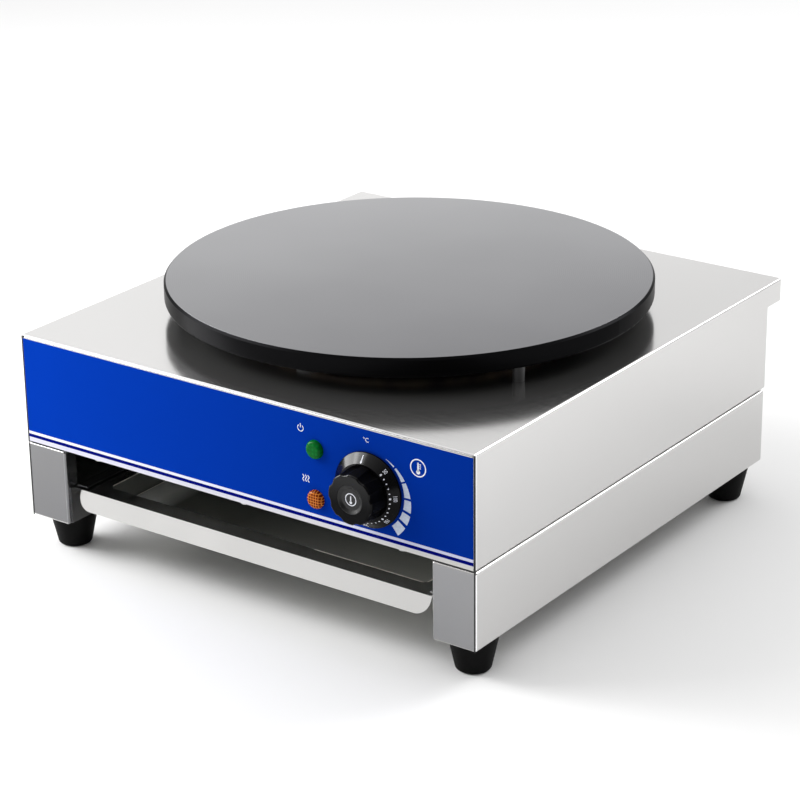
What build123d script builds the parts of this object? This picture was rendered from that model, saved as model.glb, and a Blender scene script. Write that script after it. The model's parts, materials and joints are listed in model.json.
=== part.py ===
"""An electric crepe maker: a round cast-iron plate over a stainless housing, on a base with a drip tray.

+X is to the right, the front panel faces -Y and +Z is up. The feet stand on z = 0, and the origin is
under the middle of the whole appliance, from the knob's face to the edge of the rear hood. Sizes are in
millimetres.
"""

import os
from math import asin, atan2, cos, hypot, radians, sin

from build123d import *

os.makedirs("parts", exist_ok=True)

# ---------------------------------------------------------------- driving dimensions
# Housing and base, stacked from the floor up
body_width = 440.0
foot_height = 28.4
base_height = 64.9
chassis_sheet = 1.2
housing_height = 92.5
steel_sheet = 1.2
fold_radius = 2.2
hood_depth = 21.6
hood_drop = 19.6
panel_flange = 13.0
return_flange = 14.0
chassis_inset = 3.0
fit_gap = 0.2

# Base legs, rails and tray
leg_width = 39.4
leg_return = 12.7
channel_upturn = 12.0
crossmember_height = 53.0
rail_front = 3.5
rail_height = 31.0
ledge_reach = 18.6
guide_reach = 10.4
ledge_front = 13.0
ledge_height = 28.5
slot_height = 2.3
tray_sheet = 1.0
tray_lift = 0.3
tray_side_gap = 5.4
pan_side_gap = 4.0
pan_depth = 17.0
pan_front_setback = 26.5
pan_rear_flange = 15.0
pan_corner_radius = 5.0
lip_setback = 10.0
lip_height = 14.7
lip_reach = 6.0
lip_corner_radius = 13.0
tray_rear_gap = 1.5
tray_travel = 300.0

# Griddle plate, its posts and what heats it
plate_radius = 200.0
plate_setback = 227.5
post_rear_margin = 19.5
rim_height = 15.9
rim_width = 22.0
plate_thickness = 10.0
plate_edge = 1.8
post_edge_inset = 12.0
post_angle = -28.3
post_count = 3
post_height = 14.2
post_radius = 4.8
stud_radius = 3.0
stud_grip = 11.5
stud_tail = 11.0
thread_gap = 0.05
clearance_gap = 0.3
tube_radius = 4.0
outer_loop_radius = 135.0
inner_loop_radius = 75.0
loop_gap = 52.0
leg_bend = 12.0
leg_drop = 54.0
seat_gap = 0.2
terminal_collar_radius = 4.6
terminal_collar_height = 5.0
clamp_circle_radius = 105.0
clamp_length = 84.0
clamp_width = 16.0
clamp_sheet = 2.5
clamp_angle = 30.0
clamp_count = 3
boss_radius = 7.0
clamp_screw_radius = 2.5
dish_hole_radius = 149.0
dish_sheet = 0.8
dish_flange = 10.0
dish_depth = 26.0
dish_screw_count = 4
dish_screw_angle = 45.0
leg_hole_gap = 1.5
insulation_height = 19.0
capillary_hole_radius = 3.0

# Control panel
label_sheet = 0.4
label_top_margin = 3.5
label_side_margin = 0.6
label_bottom_margin = 0.3
knob_inset = 94.5
control_z = 136.8
knob_reach = 25.0
knob_gap = 0.8
skirt_radius = 30.0
skirt_edge = 1.8
skirt_rise = 8.6
skirt_recess_radius = 26.0
skirt_recess = 1.6
grip_radius = 21.4
grip_draft = 1.4
grip_edge = 1.6
spigot_radius = 9.5
scallop_radius = 8.0
scallop_depth = 2.4
scallop_count = 8
scallop_angle = 105.0
cap_radius = 11.3
cap_recess = 2.6
cap_sink = 0.2
cap_sheet = 1.0
dish_radius = 10.8
dish_floor_radius = 8.4
shaft_radius = 3.0
shaft_gap = 0.05
shaft_flat = 1.2
shaft_hole_radius = 5.0
shaft_in_body = 12.0
thermostat_width = 44.0
thermostat_height = 34.0
thermostat_length = 30.0
thermostat_screw_spacing = 28.0
diaphragm_radius = 11.0
diaphragm_height = 5.0
tab_length = 8.0
tab_width = 6.3
tab_sheet = 0.8
tab_spread = 9.0
lamp_tab_width = 2.8
lamp_tab_spread = 3.0
lamp_knob_spacing = 49.5
lamp_spacing = 40.5
lens_radius = 7.5
lens_rise = 4.2
lens_dome = 3.4
lens_plug_radius = 4.5
lens_plug_length = 6.0
lamp_body_radius = 6.0
lamp_body_length = 24.0
lamp_clip_radius = 9.0
lamp_clip_sheet = 1.0

# Thermostat bulb under the plate
bulb_radius = 3.0
bulb_length = 90.0
bulb_offset = 30.0
capillary_radius = 0.8
capillary_bend = 6.0
clip_width = 10.0
clip_sheet = 1.0
clip_foot = 7.0
clip_spacing = 60.0

# Supply side, inside the rear panel
gland_inset = 70.0
gland_z = 121.0
gland_thread_radius = 9.8
gland_bore_radius = 5.0
gland_hex = 24.0
gland_hex_height = 6.0
gland_dome_radius = 11.0
gland_dome_height = 13.0
gland_tail = 9.0
locknut_hex = 26.0
locknut_height = 4.0
earth_gland_spacing = 66.0
earth_z = 130.0
earth_stud_radius = 2.5
earth_stud_length = 24.0
earth_nut_hex = 8.0
earth_nut_height = 4.0
ring_radius = 4.5
ring_sheet = 1.0
barrel_radius = 2.2
barrel_length = 8.0
block_gland_spacing = 32.0
block_setback = 70.0
block_length = 48.0
block_width = 22.0
block_height = 22.0
pole_count = 3
pole_spacing = 14.0
pole_radius = 2.6
vent_count = 8
vent_spacing = 26.0
vent_length = 34.0
vent_width = 5.0
vent_x = 55.0
wire_radius = 1.6
lamp_wire_radius = 1.0
wire_bend = 8.0
lamp_wire_bend = 4.0
wire_height = 12.0
socket_wall = 1.0
socket_end = 2.5
socket_gap = 0.5
crimp_depth = 1.0
crimp_split = 2.0
link_drop = 11.4

# Feet
foot_inset_x = 20.4
foot_inset_y = 26.7
foot_top_radius = 19.8
foot_bottom_radius = 13.6
foot_edge = 3.0
foot_bore_radius = 3.2
foot_counterbore_radius = 8.0
foot_counterbore = 14.0
foot_nut_hex = 10.0
foot_nut_height = 5.0

# Screws: shank radius, head radius, head height, length
m6_screw = (2.95, 6.0, 3.6, 24.0)
m5_screw = (2.45, 5.0, 2.6, 9.0)
m4_screw = (1.95, 4.0, 2.4, 8.0)
m3_screw = (1.45, 2.8, 1.6, 6.0)
panel_screw_spacing = 150.0
panel_screw_setback = 8.0
housing_screw_spacing = 160.0
crossmember_screw_spacing = 25.0
rail_screw_spacing = 130.0
drive_width = 0.9
drive_depth = 0.5

# ---------------------------------------------------------------- places that follow from them
side_x = body_width / 2
post_circle_radius = plate_radius - post_edge_inset
body_depth = plate_setback + post_circle_radius + post_rear_margin
front_y = -(body_depth + hood_depth - knob_reach) / 2
rear_y = front_y + body_depth
hood_y = rear_y + hood_depth
plate_y = front_y + plate_setback
base_bottom = foot_height
base_top = base_bottom + base_height
housing_bottom = base_top + chassis_sheet
top_z = housing_bottom + housing_height
under_top = top_z - steel_sheet
plate_bottom = top_z + post_height
plate_top = plate_bottom + rim_height
recess_ceiling = plate_top - plate_thickness
label_y = front_y - label_sheet
leg_x = side_x - leg_width
panel_width = body_width - 2 * (steel_sheet + fit_gap)
loop_z = recess_ceiling - seat_gap - tube_radius
clamp_top = loop_z - tube_radius - seat_gap
dish_floor = top_z - dish_depth
knob_x = side_x - knob_inset
lamp_x = knob_x - lamp_knob_spacing
gland_x = gland_inset - side_x
earth_x = gland_x + earth_gland_spacing
block_x = gland_x + block_gland_spacing
lamp_places = {"power_lamp": control_z + lamp_spacing / 2, "heat_lamp": control_z - lamp_spacing / 2}
foot_x = side_x - foot_inset_x
foot_front_y = front_y + foot_inset_y
foot_rear_y = rear_y - foot_inset_y
plate_axis = Axis((0, plate_y, 0), (0, 0, 1))
plate_section = Plane(origin=(0, plate_y, 0), x_dir=(1, 0, 0), z_dir=(0, -1, 0))
knob_axis = Axis((knob_x, label_y, control_z), (0, -1, 0))
knob_section = Plane(origin=(knob_x, label_y, control_z), x_dir=(1, 0, 0), z_dir=(0, 0, -1))
floor_align = (Align.CENTER, Align.CENTER, Align.MIN)
ceiling_align = (Align.CENTER, Align.CENTER, Align.MAX)
mid_y = (front_y + rear_y) / 2


# ---------------------------------------------------------------- helpers
def save(piece, name):
    """Label a finished piece and write it to its own STEP file."""
    piece.part.label = name
    export_step(piece.part, f"parts/{name}.step")


def facing_front(y):
    """The upright plane at this y, looking towards the front: its sketch x is +X and its sketch y is +Z."""
    return Plane.XZ.offset(-y)


def facing(point, direction):
    """A plane at a point whose normal is the direction, on which a screw head or a nut stands."""
    return Plane(origin=point, z_dir=direction)


def screw_group(seats, screw):
    """Pan-head screws with a cross recess, each with its head standing on one of the seat planes."""
    shank_radius, head_radius, head_height, length = screw
    with BuildPart() as screws:
        with Locations(*[Location(seat) for seat in seats]):
            Cylinder(head_radius, head_height, align=floor_align)
            Cylinder(shank_radius, length, align=ceiling_align)
        rounds = screws.edges().filter_by(GeomType.CIRCLE)
        tops = [edge for edge in rounds if any(on_crown(edge, seat, head_height) for seat in seats)]
        fillet(tops, radius=0.45 * head_height)
        with Locations(*[Location(seat.offset(head_height)) for seat in seats]):
            Box(head_radius, drive_width, 2 * drive_depth, mode=Mode.SUBTRACT)
            Box(drive_width, head_radius, 2 * drive_depth, mode=Mode.SUBTRACT)
    return screws


def on_crown(edge, seat, head_height):
    """Whether this round edge is the upper rim of the head on this seat."""
    local = seat.to_local_coords(edge.arc_center)
    return abs(local.Z - head_height) < 0.01 and hypot(local.X, local.Y) < 0.01


def nut_group(seats, across_flats, height, bore_radius):
    """Hexagon nuts, each standing on one of the seat planes."""
    with BuildPart() as nuts:
        for seat in seats:
            with BuildSketch(seat):
                RegularPolygon(across_flats / 2, 6, major_radius=False)
                Circle(bore_radius, mode=Mode.SUBTRACT)
            extrude(amount=height)
    return nuts


def folded_pan(face_y, inward, width, bottom, top, flange):
    """A sheet face at face_y, its four edges turned inward: +1 is towards the rear and -1 to the front."""
    middle = (0, face_y + inward * flange / 2, (bottom + top) / 2)
    hollow = (0, face_y + inward * (flange + 2 * steel_sheet) / 2, (bottom + top) / 2)
    with BuildPart() as pan:
        with Locations(middle):
            Box(width, flange, top - bottom)
        face = pan.faces().sort_by(Axis.Y)[0 if inward > 0 else -1]
        fillet(face.edges() + pan.edges().filter_by(Axis.Y), radius=fold_radius)
        with Locations(hollow):
            Box(width - 2 * steel_sheet, flange, top - bottom - 2 * steel_sheet, mode=Mode.SUBTRACT)
    return pan


def swept_tube(points, radius, bend):
    """A round tube or wire along straight runs that are joined by tangent arcs."""
    with BuildPart() as tube:
        with BuildLine() as route:
            FilletPolyline(*points, radius=bend)
        with BuildSketch(Plane(origin=route.line @ 0, z_dir=route.line % 0)):
            Circle(radius)
        sweep(path=route.line)
    return tube


# ---------------------------------------------------------------- screw places, shared by screws and holes
panel_screw_x = [-panel_screw_spacing, 0, panel_screw_spacing]
front_panel_seats = [facing((x, front_y + panel_screw_setback, base_top), (0, 0, -1)) for x in panel_screw_x]
rear_panel_seats = [facing((x, rear_y - panel_screw_setback, base_top), (0, 0, -1)) for x in panel_screw_x]
housing_screw_x = side_x - steel_sheet - return_flange / 2
housing_seat_z = base_top - steel_sheet
housing_seats = [
    facing((side * housing_screw_x, mid_y + step * housing_screw_spacing, housing_seat_z), (0, 0, -1))
    for side in (-1, 1)
    for step in (-1, 0, 1)
]
crossmember_half = leg_x - fit_gap
crossmember_bottom = base_top - crossmember_height
crossmember_z = base_top - crossmember_height / 2
crossmember_seats = [
    facing(
        (
            side * (crossmember_half - steel_sheet),
            rear_y - leg_return / 2,
            crossmember_z + step * crossmember_screw_spacing / 2,
        ),
        (-side, 0, 0),
    )
    for side in (-1, 1)
    for step in (-1, 1)
]
rail_screw_z = base_bottom + channel_upturn / 2 + steel_sheet / 2
rail_seats = [
    facing((side * (leg_x - steel_sheet), mid_y + step * rail_screw_spacing, rail_screw_z), (-side, 0, 0))
    for side in (-1, 1)
    for step in (-1, 0, 1)
]
foot_places = {
    "foot_front_left": (-foot_x, foot_front_y),
    "foot_front_right": (foot_x, foot_front_y),
    "foot_rear_left": (-foot_x, foot_rear_y),
    "foot_rear_right": (foot_x, foot_rear_y),
}
foot_seats = [facing((x, y, foot_counterbore), (0, 0, -1)) for x, y in foot_places.values()]
foot_nut_seats = [facing((x, y, base_bottom + steel_sheet), (0, 0, 1)) for x, y in foot_places.values()]


def around_plate(radius, count, start, z):
    """Points on a circle about the plate's axis."""
    angles = [radians(start + step * 360 / count) for step in range(count)]
    return [(radius * cos(angle), plate_y + radius * sin(angle), z) for angle in angles]


def drill(seats, radius, depth):
    """Holes that go down into the sheet from each seat plane, in the part that is being built."""
    with Locations(*[Location(seat) for seat in seats]):
        Cylinder(radius, 2 * depth, mode=Mode.SUBTRACT)


# ---------------------------------------------------------------- stainless housing
with BuildPart() as top_cover:
    housing_middle = housing_bottom + housing_height / 2
    with BuildSketch(facing_front(front_y)):
        with Locations((0, housing_middle)):
            RectangleRounded(body_width, housing_height, fold_radius)
            RectangleRounded(
                body_width - 2 * steel_sheet,
                housing_height - 2 * steel_sheet,
                fold_radius - steel_sheet,
                mode=Mode.SUBTRACT,
            )
        with Locations((0, housing_bottom)):
            Rectangle(body_width - 2 * (steel_sheet + return_flange), 4 * steel_sheet, mode=Mode.SUBTRACT)
    extrude(amount=-body_depth)
    with BuildSketch(facing_front(rear_y)) as hood_outline:
        with Locations((0, top_z - hood_drop / 2)):
            Rectangle(body_width, hood_drop)
        fillet(hood_outline.vertices().group_by(Axis.Y)[-1], radius=fold_radius)
    extrude(amount=-hood_depth)
    with BuildSketch(facing_front(rear_y - steel_sheet)) as hood_inside:
        with Locations((0, under_top - hood_drop / 2)):
            Rectangle(body_width - 2 * steel_sheet, hood_drop)
        fillet(hood_inside.vertices().group_by(Axis.Y)[-1], radius=fold_radius - steel_sheet)
    extrude(amount=-hood_depth, mode=Mode.SUBTRACT)
    for panel_y, inward in ((front_y, 1), (rear_y, -1)):
        with Locations((0, panel_y + inward * panel_flange / 2, housing_bottom)):
            Box(
                body_width - 2 * steel_sheet,
                panel_flange + 2 * fit_gap,
                4 * steel_sheet,
                mode=Mode.SUBTRACT,
            )
    with Locations((0, plate_y, top_z)):
        Cylinder(dish_hole_radius, 4 * steel_sheet, mode=Mode.SUBTRACT)
    with Locations(*around_plate(post_circle_radius, post_count, post_angle, top_z)):
        Cylinder(stud_radius + clearance_gap, 4 * steel_sheet, mode=Mode.SUBTRACT)
    dish_screw_circle = dish_hole_radius + dish_flange / 2
    with Locations(*around_plate(dish_screw_circle, dish_screw_count, dish_screw_angle, top_z)):
        Cylinder(m3_screw[0] + thread_gap, 4 * steel_sheet, mode=Mode.SUBTRACT)
    drill(housing_seats, m4_screw[0] + thread_gap, m4_screw[3])
save(top_cover, "top_cover")

front_pan = folded_pan(front_y, 1, panel_width, housing_bottom, under_top, panel_flange)
knob_seat = facing((knob_x, front_y, control_z), (0, -1, 0))
thermostat_seats = [
    facing((knob_x + side * thermostat_screw_spacing / 2, front_y, control_z), (0, -1, 0))
    for side in (-1, 1)
]
lamp_seats = {name: facing((lamp_x, front_y, z), (0, -1, 0)) for name, z in lamp_places.items()}
with BuildPart() as front_panel:
    add(front_pan)
    drill([knob_seat], shaft_hole_radius, steel_sheet)
    drill(thermostat_seats, m4_screw[0] + clearance_gap, steel_sheet)
    drill(lamp_seats.values(), lamp_body_radius + seat_gap / 2, steel_sheet)
    drill(front_panel_seats, m4_screw[0] + thread_gap, m4_screw[3])
save(front_panel, "front_panel")

label_bottom = housing_bottom + label_bottom_margin
label_height = top_z - label_top_margin - label_bottom
with BuildPart() as front_label:
    with BuildSketch(facing_front(front_y)):
        with Locations((0, label_bottom + label_height / 2)):
            Rectangle(panel_width - 2 * label_side_margin, label_height)
        with Locations((knob_x, control_z)):
            Circle(shaft_hole_radius, mode=Mode.SUBTRACT)
            with GridLocations(thermostat_screw_spacing, 0, 2, 1):
                Circle(m4_screw[1] + clearance_gap, mode=Mode.SUBTRACT)
        with Locations((lamp_x, control_z)):
            with GridLocations(0, lamp_spacing, 1, 2):
                Circle(lamp_body_radius + seat_gap / 2, mode=Mode.SUBTRACT)
    extrude(amount=label_sheet)
save(front_label, "front_label")

rear_pan = folded_pan(rear_y, -1, panel_width, housing_bottom, under_top, panel_flange)
gland_seat = facing((gland_x, rear_y, gland_z), (0, 1, 0))
gland_inner_seat = facing((gland_x, rear_y - steel_sheet, gland_z), (0, -1, 0))
earth_seat = facing((earth_x, rear_y, earth_z), (0, 1, 0))
earth_inner_seat = facing((earth_x, rear_y - steel_sheet, earth_z), (0, -1, 0))
vent_z = housing_bottom + (housing_height - hood_drop) / 2
with BuildPart() as rear_panel:
    add(rear_pan)
    drill([gland_seat], gland_thread_radius + seat_gap, steel_sheet)
    drill([earth_seat], earth_stud_radius + seat_gap, steel_sheet)
    drill(rear_panel_seats, m4_screw[0] + thread_gap, m4_screw[3])
    with BuildSketch(facing_front(rear_y)):
        with Locations((vent_x, vent_z)):
            with GridLocations(vent_spacing, 0, vent_count, 1):
                SlotOverall(vent_length, vent_width, rotation=90)
    extrude(amount=2 * steel_sheet, mode=Mode.SUBTRACT)
save(rear_panel, "rear_panel")

with BuildPart() as chassis_plate:
    with Locations((0, mid_y, base_top)):
        Box(body_width - 2 * chassis_inset, body_depth - 2 * chassis_inset, chassis_sheet, align=floor_align)
    drill(front_panel_seats + rear_panel_seats + housing_seats, m4_screw[0] + clearance_gap, m4_screw[3])
    with BuildSketch(Plane.XY.offset(base_top)):
        with Locations((0, mid_y)):
            with GridLocations(vent_spacing, 2 * vent_length, vent_count, 3):
                SlotOverall(vent_length, vent_width, rotation=90)
    extrude(amount=2 * chassis_sheet, mode=Mode.SUBTRACT)
save(chassis_plate, "chassis_plate")

# ---------------------------------------------------------------- base
with BuildPart() as left_base_channel:
    channel_middle = (-side_x + leg_width / 2, mid_y, base_bottom + base_height / 2)
    with Locations(channel_middle):
        Box(leg_width, body_depth, base_height)
    fillet(left_base_channel.edges(), radius=fold_radius)
    with Locations(channel_middle):
        Box(
            leg_width - 2 * steel_sheet,
            body_depth - 2 * steel_sheet,
            base_height - 2 * steel_sheet,
            mode=Mode.SUBTRACT,
        )
    window_bottom = base_bottom + channel_upturn
    window_top = base_top - steel_sheet
    with Locations((-leg_x, mid_y, (window_bottom + window_top) / 2)):
        Box(4 * steel_sheet, body_depth - 2 * leg_return, window_top - window_bottom, mode=Mode.SUBTRACT)
    drill(foot_seats, m6_screw[0] + clearance_gap, m6_screw[3])
    drill(housing_seats, m4_screw[0] + clearance_gap, m4_screw[3])
    drill(crossmember_seats, m4_screw[0] + thread_gap, m4_screw[3])
    drill(rail_seats, m4_screw[0] + thread_gap, m4_screw[3])
save(left_base_channel, "left_base_channel")

with BuildPart() as right_base_channel:
    mirror(left_base_channel.part, about=Plane.YZ)
save(right_base_channel, "right_base_channel")

cross_pan = folded_pan(rear_y, -1, 2 * crossmember_half, crossmember_bottom, base_top, leg_return)
with BuildPart() as rear_crossmember:
    add(cross_pan)
    drill(crossmember_seats, m4_screw[0] + clearance_gap, m4_screw[3])
    with Locations((0, rear_y - panel_screw_setback, base_top)):
        with GridLocations(panel_screw_spacing, 0, 3, 1):
            Cylinder(m4_screw[1] + clearance_gap, 4 * steel_sheet, mode=Mode.SUBTRACT)
save(rear_crossmember, "rear_crossmember")

rail_bottom = base_bottom + steel_sheet
ledge_top = base_bottom + ledge_height
guide_bottom = ledge_top + slot_height
rail_rear = rear_y - leg_return - fit_gap
inner_align = (Align.MIN, Align.MIN, Align.MIN)
with BuildPart() as left_drawer_rail:
    with Locations((-leg_x, front_y + rail_front, rail_bottom)):
        Box(steel_sheet, rail_rear - front_y - rail_front, rail_height, align=inner_align)
    with Locations((-leg_x, front_y + ledge_front, ledge_top - steel_sheet)):
        Box(ledge_reach, rail_rear - front_y - ledge_front, steel_sheet, align=inner_align)
    with Locations((-leg_x, front_y + ledge_front, guide_bottom)):
        Box(guide_reach, rail_rear - front_y - ledge_front, steel_sheet, align=inner_align)
    drill(rail_seats, m4_screw[0] + clearance_gap, m4_screw[3])
save(left_drawer_rail, "left_drawer_rail")

with BuildPart() as right_drawer_rail:
    mirror(left_drawer_rail.part, about=Plane.YZ)
save(right_drawer_rail, "right_drawer_rail")


def rubber_foot(x, y):
    """A tapered foot with a rounded tread and a counterbored hole for its screw."""
    with BuildPart() as foot:
        with BuildSketch(Plane(origin=(x, y, 0), x_dir=(1, 0, 0), z_dir=(0, -1, 0))) as outline:
            with BuildLine():
                Polyline(
                    (0, 0),
                    (foot_bottom_radius, 0),
                    (foot_top_radius, foot_height),
                    (0, foot_height),
                    close=True,
                )
            make_face()
            tread = outline.vertices().group_by(Axis.Y)[0].sort_by(Axis.X)[-1]
            fillet(tread, radius=foot_edge)
        revolve(axis=Axis((x, y, 0), (0, 0, 1)))
        with Locations((x, y, 0)):
            Cylinder(foot_bore_radius, 3 * foot_height, mode=Mode.SUBTRACT)
            Cylinder(foot_counterbore_radius, 2 * foot_counterbore, mode=Mode.SUBTRACT)
    return foot


for foot_name, (foot_place_x, foot_place_y) in foot_places.items():
    save(rubber_foot(foot_place_x, foot_place_y), foot_name)

save(screw_group(foot_seats, m6_screw), "foot_screws")
save(nut_group(foot_nut_seats, foot_nut_hex, foot_nut_height, m6_screw[0] + thread_gap), "foot_nuts")
save(screw_group(housing_seats, m4_screw), "housing_screws")
save(screw_group(front_panel_seats, m4_screw), "front_panel_screws")
save(screw_group(rear_panel_seats, m4_screw), "rear_panel_screws")
save(screw_group(crossmember_seats, m4_screw), "crossmember_screws")
save(screw_group(rail_seats, m4_screw), "rail_screws")

# ---------------------------------------------------------------- sliding drip tray
tray_half = leg_x - steel_sheet - tray_side_gap
pan_half = leg_x - ledge_reach - pan_side_gap
tray_bottom = ledge_top + tray_lift
tray_top = tray_bottom + tray_sheet
tray_front = front_y + lip_setback
tray_rear = rail_rear - tray_rear_gap
pan_front = front_y + pan_front_setback - tray_sheet
pan_rear = tray_rear - pan_rear_flange
pan_middle = (0, (pan_front + pan_rear) / 2)
lip_slope = atan2(lip_reach, lip_height)
lip_length = hypot(lip_reach, lip_height)
lip_plane = Plane(
    origin=(0, tray_front, tray_top),
    x_dir=(1, 0, 0),
    z_dir=(0, -cos(lip_slope), sin(lip_slope)),
)
with BuildPart() as drawer_tray:
    with BuildSketch(Plane.XY.offset(tray_bottom)):
        with Locations((0, (tray_front + tray_rear) / 2)):
            Rectangle(2 * tray_half, tray_rear - tray_front)
    extrude(amount=tray_sheet)
    with BuildSketch(Plane.XY.offset(tray_top)):
        with Locations(pan_middle):
            RectangleRounded(2 * pan_half, pan_rear - pan_front, pan_corner_radius)
    extrude(amount=-pan_depth - tray_sheet)
    fillet(drawer_tray.faces().sort_by(Axis.Z)[0].edges(), radius=3 * tray_sheet)
    with BuildSketch(Plane.XY.offset(tray_top)):
        with Locations(pan_middle):
            RectangleRounded(
                2 * (pan_half - tray_sheet),
                pan_rear - pan_front - 2 * tray_sheet,
                pan_corner_radius - tray_sheet,
            )
    extrude(amount=-pan_depth, mode=Mode.SUBTRACT)
    pan_floor = drawer_tray.faces().filter_by(Plane.XY).group_by(Axis.Z)[1].sort_by(SortBy.AREA)[-1]
    fillet(pan_floor.edges(), radius=2 * tray_sheet)
    with BuildSketch(lip_plane) as lip_outline:
        with Locations((0, -lip_length / 2)):
            Rectangle(2 * tray_half, lip_length)
        fillet(lip_outline.vertices().group_by(Axis.Y)[0], radius=lip_corner_radius)
    extrude(amount=-tray_sheet)
save(drawer_tray, "drawer_tray")

# ---------------------------------------------------------------- griddle plate and its posts
bulb_y = plate_y - bulb_offset
bulb_z = recess_ceiling - seat_gap - bulb_radius
clip_screw_y = bulb_y - bulb_radius - clip_sheet - clip_foot / 2
clip_screw_z = recess_ceiling - clip_sheet
clip_seats = [facing((side * clip_spacing / 2, clip_screw_y, clip_screw_z), (0, 0, -1)) for side in (-1, 1)]
post_places = around_plate(post_circle_radius, post_count, post_angle, plate_bottom)
clamp_places = around_plate(clamp_circle_radius, clamp_count, clamp_angle, clamp_top)
with BuildPart() as griddle_plate:
    with BuildSketch(plate_section):
        with BuildLine():
            Polyline(
                (0, recess_ceiling),
                (plate_radius - rim_width, recess_ceiling),
                (plate_radius - rim_width, plate_bottom),
                (plate_radius, plate_bottom),
                (plate_radius, plate_top),
                (0, plate_top),
                close=True,
            )
        make_face()
    revolve(axis=plate_axis)
    rim_edges = griddle_plate.edges().filter_by(GeomType.CIRCLE).group_by(Axis.Z)
    chamfer(rim_edges[-1], length=plate_edge)
    fillet(rim_edges[0].filter_by(lambda edge: edge.radius > plate_radius - 1), radius=plate_edge)
    with Locations(*clamp_places):
        Cylinder(boss_radius, recess_ceiling - clamp_top, align=floor_align)
        Cylinder(clamp_screw_radius + thread_gap, 2 * (recess_ceiling - clamp_top), mode=Mode.SUBTRACT)
    with Locations(*post_places):
        Cylinder(stud_radius + thread_gap, 2 * (stud_grip + 1), mode=Mode.SUBTRACT)
    drill(clip_seats, m3_screw[0] + thread_gap, m3_screw[3])
save(griddle_plate, "griddle_plate")

with BuildPart() as plate_posts:
    with Locations(*around_plate(post_circle_radius, post_count, post_angle, top_z)):
        Cylinder(post_radius, post_height, align=floor_align)
        Cylinder(stud_radius + clearance_gap, 3 * post_height, mode=Mode.SUBTRACT)
save(plate_posts, "plate_posts")

with BuildPart() as plate_studs:
    with Locations(*around_plate(post_circle_radius, post_count, post_angle, under_top - stud_tail)):
        Cylinder(stud_radius, stud_tail + steel_sheet + post_height + stud_grip, align=floor_align)
save(plate_studs, "plate_studs")

stud_nut_places = around_plate(post_circle_radius, post_count, post_angle, under_top)
stud_nut_seats = [facing(place, (0, 0, -1)) for place in stud_nut_places]
save(nut_group(stud_nut_seats, foot_nut_hex, foot_nut_height, stud_radius + thread_gap), "plate_stud_nuts")

# ---------------------------------------------------------------- heating elements under the plate
up = Vector(0, 0, 1)


def loop_ends(radius):
    """The two points where a loop turns down, each with its direction of travel, anticlockwise from above."""
    half_gap = asin(loop_gap / 2 / radius)
    ends = []
    for angle in (radians(90) + half_gap, radians(90) - half_gap):
        point = Vector(radius * cos(angle), plate_y + radius * sin(angle), loop_z)
        ends.append((point, Vector(-sin(angle), cos(angle), 0)))
    return ends


def heating_loop(radius):
    """A tubular element bent to one turn, with both of its cold ends turned down."""
    (start, start_way), (finish, finish_way) = loop_ends(radius)
    start_leg = start - start_way * leg_bend - up * leg_bend
    finish_leg = finish + finish_way * leg_bend - up * leg_bend
    start_middle = start - up * leg_bend + (up - start_way) * leg_bend * cos(radians(45))
    finish_middle = finish - up * leg_bend + (up + finish_way) * leg_bend * cos(radians(45))
    with BuildPart() as loop:
        with BuildLine() as route:
            Line(start_leg - up * (leg_drop - leg_bend), start_leg)
            ThreePointArc(start_leg, start_middle, start)
            ThreePointArc(start, Vector(0, plate_y - radius, loop_z), finish)
            ThreePointArc(finish, finish_middle, finish_leg)
            Line(finish_leg, finish_leg - up * (leg_drop - leg_bend))
        with BuildSketch(Plane(origin=route.line @ 0, z_dir=route.line % 0)):
            Circle(tube_radius)
        sweep(path=route.line)
    return loop


def leg_places(radius, z):
    """Where the two cold ends of a loop come down, at height z."""
    places = []
    for (point, way), turn in zip(loop_ends(radius), (-1, 1)):
        leg = point + way * turn * leg_bend
        places.append((leg.X, leg.Y, z))
    return places


save(heating_loop(outer_loop_radius), "outer_heating_element")
save(heating_loop(inner_loop_radius), "inner_heating_element")

leg_bottom = loop_z - leg_drop
all_legs = leg_places(outer_loop_radius, leg_bottom) + leg_places(inner_loop_radius, leg_bottom)
with BuildPart() as element_terminals:
    with Locations(*all_legs):
        Cylinder(terminal_collar_radius, terminal_collar_height, align=ceiling_align)
        Box(tab_width, tab_sheet, terminal_collar_height + tab_length, align=ceiling_align)
save(element_terminals, "element_terminals")

with BuildPart() as element_clamp_bars:
    with BuildSketch(Plane.XY.offset(clamp_top - clamp_sheet)):
        with Locations((0, plate_y)):
            with PolarLocations(clamp_circle_radius, clamp_count, start_angle=clamp_angle):
                SlotOverall(clamp_length, clamp_width)
                Circle(clamp_screw_radius + clearance_gap, mode=Mode.SUBTRACT)
    extrude(amount=clamp_sheet)
save(element_clamp_bars, "element_clamp_bars")

clamp_seats = [facing((x, y, z - clamp_sheet), (0, 0, -1)) for x, y, z in clamp_places]
save(screw_group(clamp_seats, m5_screw), "clamp_screws")

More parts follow.
